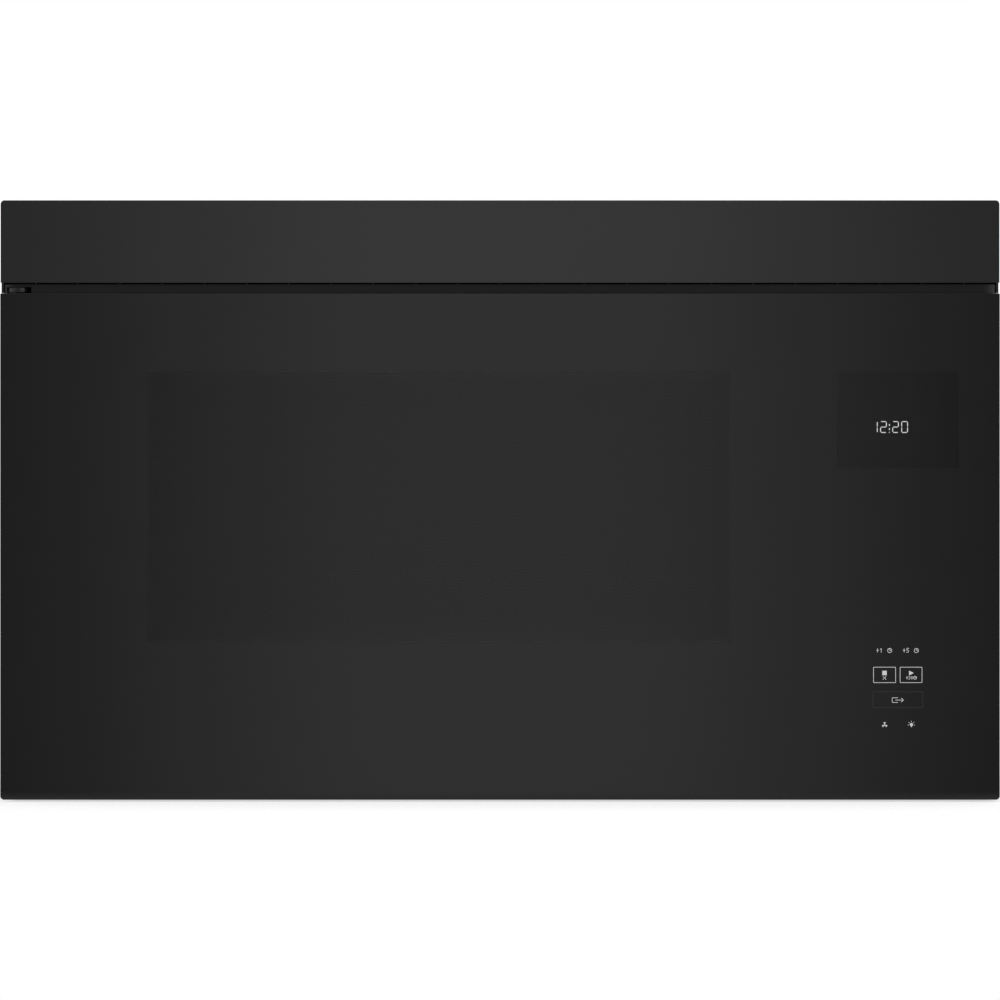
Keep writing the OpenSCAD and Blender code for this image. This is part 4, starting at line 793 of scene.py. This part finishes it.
# Places of the legends in the photograph, in pixels
PLUS_COLS = (("+1", 876.3), ("+5", 902.9))
PLUS_FOOT = 652.4
PLUS_MIDDLE = 650.5
KEY_ROWS = (667.2, 682.6)
STOP_COLS = (873.5, 895.6)
START_COLS = (900.1, 922.0)
OPEN_BOX = (872.9, 922.8, 691.8, 707.6)
SIGN_ROW = 673.0
STOP_COL = 884.5
START_COL = 911.0
STOP_FOOT = 678.0
TIME_FOOT = 679.2
TIME_MIDDLE = 677.8
OPEN_AT = (898.0, 700.1)
FAN_AT = (884.6, 724.9)
LAMP_AT = (911.4, 724.9)


def written(f, text, x, z, h, gap=0.25):
    """Plain numbers in thin strokes, from (x, z) to the right."""
    w = h * 0.62
    for ch in text:
        for path in GLYPHS[ch]:
            f.line([(x + a * w, z + b * h) for a, b in path], THIN)
        x += w + gap * h
    return x


def key_box(f, left, right, top, bottom, slot=0):
    """Outline of a key, with its corners a little rounded, from the middles of its lines in pixels."""
    x0, x1, z0, z1, t = px(left), px(right), pz(bottom), pz(top), THIN / 2
    inner = rounded(x0 + t, x1 - t, z0 + t, z1 - t, 0.0003, 2)
    f.ring(inner, rounded(x0 - t, x1 + t, z0 - t, z1 + t, 0.0006, 2), slot)


def small_clock(f, x, z, r):
    """Clock face mark: a ring with two hands."""
    n = 24
    circle = [(math.cos(2 * math.pi * i / n), math.sin(2 * math.pi * i / n)) for i in range(n)]
    inner, outer = ([(x + q * c, z + q * s) for c, s in circle] for q in (r - THIN, r))
    f.ring(inner, outer)
    f.line([(x, z + r * 0.55), (x, z), (x + r * 0.45, z)], THIN)


def stop_mark(f, x, z, foot):
    """A square, with a small cross under it."""
    half, arm, rise = 0.0017, 0.0011, 0.0011
    f.rect(x - half, x + half, z - half, z + half)
    for tilt in (rise, -rise):
        f.line([(x - arm, foot - tilt), (x + arm, foot + tilt)], THIN)


def start_mark(f, x, z):
    """A triangle that points to the right."""
    rear, tip, half = 0.0015, 0.0021, 0.0018
    f.face([(x - rear, z - half), (x + tip, z), (x - rear, z + half)])


def open_mark(f, x, z):
    """A door leaf with an arrow out of it."""
    right, left, half = x - 0.0002, x - 0.0044, 0.0018
    tail, tip, barb, wide = x - 0.0018, x + 0.0042, x + 0.0026, 0.0014
    f.line([(right, z + half), (left, z + half), (left, z - half), (right, z - half)], THIN)
    f.line([(tail, z), (tip, z)], THIN)
    f.line([(barb, z + wide), (tip, z), (barb, z - wide)], THIN)


def fan_mark(f, x, z):
    """Three blades round a hub."""
    hub, reach, first, spread = 0.0005, 0.0021, 65, 0.3
    for blade in range(3):
        start = math.radians(first + 120 * blade)
        arc = [start + spread * i for i in range(4)]
        f.face([(x + hub * math.cos(a), z + hub * math.sin(a)) for a in (arc[-1], arc[0])]
               + [(x + reach * math.cos(a), z + reach * math.sin(a)) for a in arc])
    f.disc(x, z, hub, 12)


def lamp_mark(f, x, z):
    """A bulb over its cap, with rays."""
    lift, bulb, cap, low, high = 0.0003, 0.0012, 0.0005, 0.0016, 0.0008
    rays = (0.0019, 0.0026)
    f.disc(x, z + lift, bulb, 16)
    f.rect(x - cap, x + cap, z - low, z - high)
    for i in range(5):
        a = math.radians(-10 + 50 * i)
        f.line([(x + q * math.cos(a), z + lift + q * math.sin(a)) for q in rays], THIN * 0.8)


def key_legends():
    """Legends of the touch keys: plain numbers and marks, with a box round each of the three larger keys."""
    f = Flat(back)
    for text, left in PLUS_COLS:
        end = written(f, text, px(left), pz(PLUS_FOOT), PLUS_TALL)
        small_clock(f, end + 0.0048, pz(PLUS_MIDDLE), 0.0018)
    key_box(f, *STOP_COLS, *KEY_ROWS)
    key_box(f, *START_COLS, *KEY_ROWS)
    key_box(f, *OPEN_BOX, FAINT)
    stop_mark(f, px(STOP_COL), pz(SIGN_ROW), pz(STOP_FOOT))
    x = px(START_COL)
    start_mark(f, x, pz(SIGN_ROW))
    written(f, "+30", x - 0.0037, pz(TIME_FOOT), TIME_TALL, 0.22)
    small_clock(f, x + 0.0031, pz(TIME_MIDDLE), 0.0013)
    open_mark(f, px(OPEN_AT[0]), pz(OPEN_AT[1]))
    fan_mark(f, px(FAN_AT[0]), pz(FAN_AT[1]))
    lamp_mark(f, px(LAMP_AT[0]), pz(LAMP_AT[1]))
    f.seen_at(g0.y + LEGEND_LIFT / 4)
    return f.object("key_legends", [legend_ink_painted_glow, faint_ink])


put(key_legends(), "door", "touch_board")


# Door body

for node, m, w in (("door_frame", door_plastic, 0.0006), ("door_inner_trim", trim_plastic, 0.0006),
                   ("choke_cover", trim_plastic, 0.0005)):
    put(soft_edges(node, node + "_moulding", m, w), "door", node, node)
pane = slab("inner_window_pane", *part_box("inner_window"), GLASS_R, GLASS_R, ARRIS, [inner_glass, ground_edge])
put(pane, "door", "inner_window", "inner_window")

SCREEN_HOLE = 0.00115
SCREEN_PITCH = 0.0034
# Flat faces of the pressing that lie this close to its front give way to the sheet with holes
SCREEN_SHEET = 0.0012
# The holes start this far outside the window, under a plain margin that starts nearer to it
SCREEN_LAP = 0.005
MARGIN_LAP = 0.0035
# Where that margin ends inside the box of the pressing, at the sides and at the top and bottom
MARGIN_SIDE = 0.0062
MARGIN_END = 0.0002
MARGIN_CORNER = 0.006


def perforated(x0, x1, z0, z1, y, hole, pitch):
    """Faces of a flat sheet with rows of round holes; each hole sits in a hexagon that shares its corners."""
    dz = pitch * math.sqrt(3) / 2
    cols, rows = int((x1 - x0) / pitch), int((z1 - z0) / dz)
    xs, zs = (x0 + x1 - (cols - 0.5) * pitch) / 2, (z0 + z1 - (rows - 1) * dz) / 2
    verts, faces, known = [], [], {}

    def corner(x, z):
        key = (round(x * 2e5), round(z * 2e5))
        if key not in known:
            known[key] = len(verts)
            verts.append((x, y, z))
        return known[key]

    r = pitch / math.sqrt(3)
    for j in range(rows):
        for i in range(cols):
            cx, cz = xs + (i + 0.5 * (j % 2)) * pitch, zs + j * dz
            outer, inner = [], []
            for k in range(6):
                a = math.radians(30 + 60 * k)
                outer.append(corner(cx + r * math.cos(a), cz + r * math.sin(a)))
                inner.append(len(verts))
                verts.append((cx + hole * math.cos(a), y, cz + hole * math.sin(a)))
            for k in range(6):
                n = (k + 1) % 6
                faces.append((outer[k], outer[n], inner[n], inner[k]))
    return verts, faces


def choke():
    """Pressing round the window, and the sheet with holes in the place of its flat middle."""
    c0, c1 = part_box("choke_panel")
    pressing = soft_edges("choke_panel", "choke_pressing", screen_coat, 0.0003,
                          drop=lambda c, n: c.y < c0.y + SCREEN_SHEET and abs(n.y) > 0.9)
    put(pressing, "door", "choke_panel", "choke_panel")
    sheet = Flat(c0.y + 0.0001)
    sheet.ring(rounded(*around(WINDOW, MARGIN_LAP), 0.001, 3),
               rounded(c0.x + MARGIN_SIDE, c1.x - MARGIN_SIDE, c0.z + MARGIN_END, c1.z - MARGIN_END,
                       MARGIN_CORNER, 3))
    sheet.add(*perforated(*around(WINDOW, SCREEN_LAP), c0.y + 0.0004, SCREEN_HOLE, SCREEN_PITCH))
    put(sheet.object("choke_screen", [screen_coat]), "door", "choke_panel")


choke()


# Cabinet

for node, ending, m, w in (("outer_case", "_shell", case_black, 0.0004),
                           ("vent_panel", "_shell", panel, 0.00055),
                           ("vent_grille", "_shell", grille_plastic, 0.0004),
                           ("upper_hinge_bracket", "_plate", bracket_black, 0.0005),
                           ("lower_hinge_bracket", "_plate", bracket_black, 0.0005)):
    put(soft_edges(node, node + ending, m, w), "cabinet", node, node)

# Planes of the case's sides and of its back, to the micrometre
CASE_SIDE = round(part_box("outer_case")[1].x, 6)
CASE_REAR = round(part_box("outer_case")[1].y, 6)
HEAD_R = 0.0038
SIDE_HEAD = 0.0016
REAR_HEAD = 0.0018
SLOT_HALF = 0.00042
# No two screws are closer than this
HEADS_APART = 0.006


def screw_head(shape, at, axis, r, h, turn):
    """Pan head with a cross recess: a polar height field, at its seat, along axis."""
    steps, rings, rim, recess = 40, 9, 0.93, 0.55
    side = axis.orthogonal().normalized()
    up = axis.cross(side)
    verts = [tuple(at + axis * 0.1 * h)]
    for j in range(1, rings + 1):
        q = j / rings
        for i in range(steps):
            a = 2 * math.pi * i / steps
            b = a + turn
            dome = h * (1 - 0.35 * q * q) if q < rim else h * 0.45 * (1 - q) / 0.07
            arm = min(abs(math.sin(b)), abs(math.cos(b))) * q * r
            if q < recess and arm < SLOT_HALF:
                dome -= 0.9 * h * (1 - q / 0.62)
            verts.append(tuple(at + axis * dome + (side * math.cos(a) + up * math.sin(a)) * r * q))
    faces = []
    for j in range(rings):
        following = 1 + j * steps
        for i in range(steps):
            n = (i + 1) % steps
            inner = (following - steps + i, following - steps + n) if j else (0,)
            faces.append((*inner, following + n, following + i))
    shape.add(verts, faces)


def screw_seats():
    """Seat, axis and head height of each case screw, found from the CAD screws outside the case."""
    groups = {}
    for v in nodes["case_screws"].data.vertices:
        x, y, z = v.co
        if abs(x) > CASE_SIDE + 1e-5:
            groups.setdefault(("x", 1 if x > 0 else -1, round(y / 0.012), round(z / 0.012)), []).append(v.co)
        elif y > CASE_REAR + 1e-5:
            groups.setdefault(("y", 1, round(x / 0.02), round(z / 0.02)), []).append(v.co)
    seats = []
    for (way, s, _, _), pts in groups.items():
        c = sum(pts, Vector()) / len(pts)
        if way == "x":
            seats.append((Vector((s * CASE_SIDE, c.y, c.z)), Vector((s, 0, 0)), SIDE_HEAD))
        else:
            seats.append((Vector((c.x, CASE_REAR, c.z)), Vector((0, 1, 0)), REAR_HEAD))
    merged = []
    for seat, axis, h in seats:
        if all((seat - m[0]).length > HEADS_APART for m in merged):
            near = [s[0] for s in seats if (s[0] - seat).length <= HEADS_APART]
            merged.append((sum(near, Vector()) / len(near), axis, h))
    return merged


def case_screws():
    shape = Shape()
    for n, (seat, axis, h) in enumerate(screw_seats()):
        screw_head(shape, seat, axis, HEAD_R, h, 0.7 * n)
    heads = shape.object("case_screw_heads", [screw_black], smooth=True)
    heads.data.set_sharp_from_angle(angle=math.radians(40))
    put(heads, "cabinet", "case_screws", "case_screws")


case_screws()


# Grease filters and lamps

RIM = 0.007
RIM_EDGE = 0.0006
RIM_RETURN = 0.0016
# Share of a diamond that its strands take, and how far they tip
STRAND = 0.26
WIDE_STRAND = 0.3
TILT = 0.0004
# Width and depth of a diamond in the outer layers of mesh and in the one between them
OUTER_CELL = (0.0062, 0.0036)
INNER_CELL = (0.0052, 0.0042)
MESH_SLOT, PAD_SLOT, TAB_SLOT = 1, 2, 3
BAYS = 4
RIB_HALF = 0.0015


def expanded(shape, area, z, cell, strand):
    """Expanded-metal mesh: staggered diamonds of thin strands that tip up and down."""
    x0, x1, y0, y1 = area
    cw, cd = cell
    cols, rows = int((x1 - x0) / cw), int((y1 - y0) / cd)
    xs, ys = (x0 + x1 - (cols - 1) * cw) / 2, (y0 + y1 - (rows - 1) * cd) / 2
    quads = [(a, (a + 1) % 4, 4 + (a + 1) % 4, 4 + a) for a in range(4)]
    for j in range(rows * 2 - 1):
        for i in range(cols - (j % 2)):
            cx, cy = xs + (i + 0.5 * (j % 2)) * cw, ys + j * cd / 2
            verts = [(cx + ax * cw / 2 * f, cy + ay * cd / 2 * f, z + h * rise)
                     for f, rise in ((1.0, TILT), (1.0 - strand, 0.2 * TILT))
                     for ax, ay, h in ((1, 0, -1), (0, 1, 1), (-1, 0, -1), (0, -1, 1))]
            shape.add(verts, quads, MESH_SLOT)


def filter_rim(shape, plan, z0, z1):
    """Folded frame with soft edges and a return inside, closed all round."""
    outer = rounded(*plan, 0.004)
    mid = rounded(*around(plan, -RIM_EDGE), 0.0035)
    inner = rounded(*around(plan, RIM_EDGE - RIM), 0.0035)
    lip = rounded(*around(plan, -RIM), 0.003)
    loops = [(outer, z0 + RIM_EDGE), (mid, z0), (inner, z0), (lip, z0 + RIM_EDGE), (lip, z0 + RIM_RETURN),
             (lip, z1 - RIM_RETURN), (lip, z1 - RIM_EDGE), (inner, z1), (mid, z1), (outer, z1 - RIM_EDGE)]
    n = len(outer)
    faces = []
    for j in range(len(loops)):
        k = (j + 1) % len(loops)
        for i in range(n):
            m = (i + 1) % n
            faces.append((j * n + i, k * n + i, k * n + m, j * n + m))
    shape.add([(x, y, z) for loop, z in loops for x, y in loop], faces)


def pull_tab(shape, x, y, z):
    """Tab under the frame, to pull the filter down by."""
    half, long, tall = 0.012, 0.01, 0.0022
    profile = [(0, tall), (0, 0.0003), (0.0006, 0), (long - 0.0006, 0), (long, 0.0003), (long, tall)]
    m = len(profile)
    faces = [(i, (i + 1) % m, m + (i + 1) % m, m + i) for i in range(m)]
    faces += [range(m), range(m, 2 * m)]
    shape.add([(end, y + a, z + b) for end in (x - half, x + half) for a, b in profile], faces, TAB_SLOT)


def grease_filter(node, body):
    """Grease filter: a frame with ribs, layers of expanded mesh over a metal pad, and a tab."""
    lo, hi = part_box(node)
    z0, z1 = lo.z + RIM_EDGE, hi.z
    plan = (lo.x, hi.x, lo.y, hi.y)
    area = around(plan, 0.001 - RIM)
    x0, x1, y0, y1 = area
    shape = Shape()
    filter_rim(shape, plan, z0, z1)
    shape.bar(*area, z0 + 0.0034, z1 - 0.0034, PAD_SLOT)
    expanded(shape, area, z0 + 0.0014, OUTER_CELL, STRAND)
    expanded(shape, area, z0 + 0.0026, INNER_CELL, WIDE_STRAND)
    expanded(shape, area, z1 - 0.0014, OUTER_CELL, STRAND)
    bay = (x1 - x0) / BAYS
    for i in range(1, BAYS):
        x = x0 + i * bay
        for bottom, top in ((z0 + 0.0003, z0 + 0.001), (z1 - 0.001, z1 - 0.0003)):
            shape.bar(x - RIB_HALF, x + RIB_HALF, y0, y1, bottom, top)
    pull_tab(shape, (lo.x + hi.x) / 2, lo.y + 0.009, lo.z)
    ob = shape.object(node + "_mesh", [aluminium, mesh_metal, wool, black_nylon])
    bm = bmesh.new()
    bm.from_mesh(ob.data)
    bmesh.ops.recalc_face_normals(bm, faces=[f for f in bm.faces if f.material_index != MESH_SLOT])
    bm.to_mesh(ob.data)
    bm.free()
    put(ob, body, node, node)


grease_filter("grease_filter_left", "left_filter")
grease_filter("grease_filter_right", "right_filter")
diffusers = soft_edges("task_lamp_lenses", "task_lamp_diffusers", lens, 0.0004)
put(diffusers, "cabinet", "task_lamp_lenses", "task_lamp_lenses")


# Stage

FLOOR_HALF = 2.5
FLOOR_Z = -0.0005
FADE = 0.16
FLOOR_GREY = 0.42
FLOOR_GLOW = 0.62
# Share of that glow which mirrors show
GLOW_IN_MIRRORS = 0.4


def floor():
    """Pale floor that fades out into the white around it, so only the object's soft shadow is seen."""
    corners = [(sx * FLOOR_HALF, sy * FLOOR_HALF, FLOOR_Z) for sx, sy in ((-1, -1), (1, -1), (1, 1), (-1, 1))]
    ob = made("floor", corners, [(0, 1, 2, 3)], [])
    m = bpy.data.materials.new("pale_floor")
    m.use_nodes = True
    nt = m.node_tree
    nt.nodes.clear()
    new = nt.nodes.new
    link = nt.links.new

    diffuse = new("ShaderNodeBsdfDiffuse")
    feed(nt, diffuse.inputs[0], (FLOOR_GREY,) * 3)
    ray = new("ShaderNodeLightPath").outputs
    in_mirrors = math_in(nt, "MULTIPLY", ray["Is Glossy Ray"], GLOW_IN_MIRRORS)
    either = math_in(nt, "MAXIMUM", ray["Is Camera Ray"], in_mirrors)
    every = math_in(nt, "MAXIMUM", either, ray["Is Transmission Ray"])
    glow = new("ShaderNodeEmission")
    link(math_in(nt, "MULTIPLY", every, FLOOR_GLOW), glow.inputs["Strength"])
    total = new("ShaderNodeAddShader")
    link(diffuse.outputs[0], total.inputs[0])
    link(glow.outputs[0], total.inputs[1])

    place = new("ShaderNodeSeparateXYZ")
    link(new("ShaderNodeTexCoord").outputs["Object"], place.inputs[0])
    far = new("ShaderNodeCombineXYZ")
    for i, (way, half) in enumerate((("X", cad_bounds[1][0]), ("Y", cad_bounds[1][1]))):
        beyond = math_in(nt, "SUBTRACT", math_in(nt, "ABSOLUTE", place.outputs[way]), half)
        link(math_in(nt, "MAXIMUM", beyond, 0.0), far.inputs[i])
    length = new("ShaderNodeVectorMath")
    length.operation = "LENGTH"
    link(far.outputs[0], length.inputs[0])
    fade = range_in(nt, length.outputs["Value"], 0.0, FADE, curve="SMOOTHSTEP")
    gone = new("ShaderNodeBsdfTransparent").outputs[0]
    link(shader_mix_in(nt, fade, total.outputs[0], gone), new("ShaderNodeOutputMaterial").inputs[0])
    ob.data.materials.append(m)


# How bright the room is behind the camera, from straight ahead (0) out to ROOM_SIDE degrees (1) on each side
ROOM_SIDE = 60
ROOM_LEVELS = ((0.0, 0.66), (0.026, 0.65), (0.043, 0.53), (0.058, 0.44), (0.072, 0.32), (0.081, 0.27),
               (0.09, 0.215), (0.12, 0.205), (0.3, 0.3), (0.65, 0.8), (0.95, 1.0))
# How far up or down the room turns white, where 1 is straight up
WHITE_FROM = 0.2
WHITE_AT = 0.8
WHITE = (1, 1, 1)
WORLD_LIGHT = 0.8


def studio():
    """White to the camera, plain light on the object, and the room behind the camera to its mirrors."""
    world = bpy.data.worlds.new("studio")
    bpy.context.scene.world = world
    world.use_nodes = True
    nt = world.node_tree
    nt.nodes.clear()
    new = nt.nodes.new

    def background(color, strength):
        n = new("ShaderNodeBackground")
        feed(nt, n.inputs[0], color)
        feed(nt, n.inputs[1], strength)
        return n.outputs[0]

    way = new("ShaderNodeSeparateXYZ")
    feed(nt, way.inputs[0], new("ShaderNodeTexCoord").outputs["Generated"])
    ahead = math_in(nt, "MULTIPLY", way.outputs[1], -1.0)
    azimuth = math_in(nt, "ARCTAN2", math_in(nt, "ABSOLUTE", way.outputs[0]), ahead)
    room = new("ShaderNodeValToRGB")
    feed(nt, room.inputs[0], math_in(nt, "DIVIDE", azimuth, math.radians(ROOM_SIDE)))
    room.color_ramp.interpolation = "B_SPLINE"
    stops = room.color_ramp.elements
    stops[0].position = ROOM_LEVELS[0][0]
    stops[1].position = ROOM_LEVELS[-1][0]
    for at, _ in ROOM_LEVELS[1:-1]:
        stops.new(at)
    for stop, (_, level) in zip(stops, ROOM_LEVELS):
        stop.color = (level, level, level, 1)
    high = range_in(nt, math_in(nt, "ABSOLUTE", way.outputs[2]), WHITE_FROM, WHITE_AT)
    mirrored = background(mix_in(nt, high, room.outputs[0], WHITE), 1.0)

    ray = new("ShaderNodeLightPath").outputs
    either = math_in(nt, "MAXIMUM", ray["Is Glossy Ray"], ray["Is Transmission Ray"])
    lit = shader_mix_in(nt, either, background(WHITE, WORLD_LIGHT), mirrored)
    seen = shader_mix_in(nt, ray["Is Camera Ray"], lit, background(WHITE, 1.0))
    feed(nt, new("ShaderNodeOutputWorld").inputs[0], seen)


def soft_light(name, at, size, watts):
    """Square area light that faces the middle of the object."""
    data = bpy.data.lights.new(name, "AREA")
    data.shape, data.size, data.energy = "SQUARE", size, watts
    ob = added(name, data)
    ob.location = at
    ob.rotation_euler = (Vector((0, 0, 0.25)) - Vector(at)).to_track_quat("-Z", "Y").to_euler()


def front_camera():
    """Camera at the photograph's viewing angle."""
    data = bpy.data.cameras.new("camera")
    data.lens, data.sensor_width = 200, 36
    data.clip_start, data.clip_end = 0.05, 60
    camera = added("camera", data)
    camera.location = (0, EYE_Y, EYE_Z)
    camera.rotation_euler = (math.radians(90), 0, 0)
    bpy.context.scene.camera = camera


floor()
studio()
soft_light("key", (-2.6, -2.4, 2.9), 1.8, 34)
soft_light("fill", (3.0, -1.6, 1.6), 2.0, 14)
soft_light("rim", (1.6, 2.8, 2.6), 1.8, 20)
front_camera()
bpy.context.scene.view_settings.view_transform = "Standard"
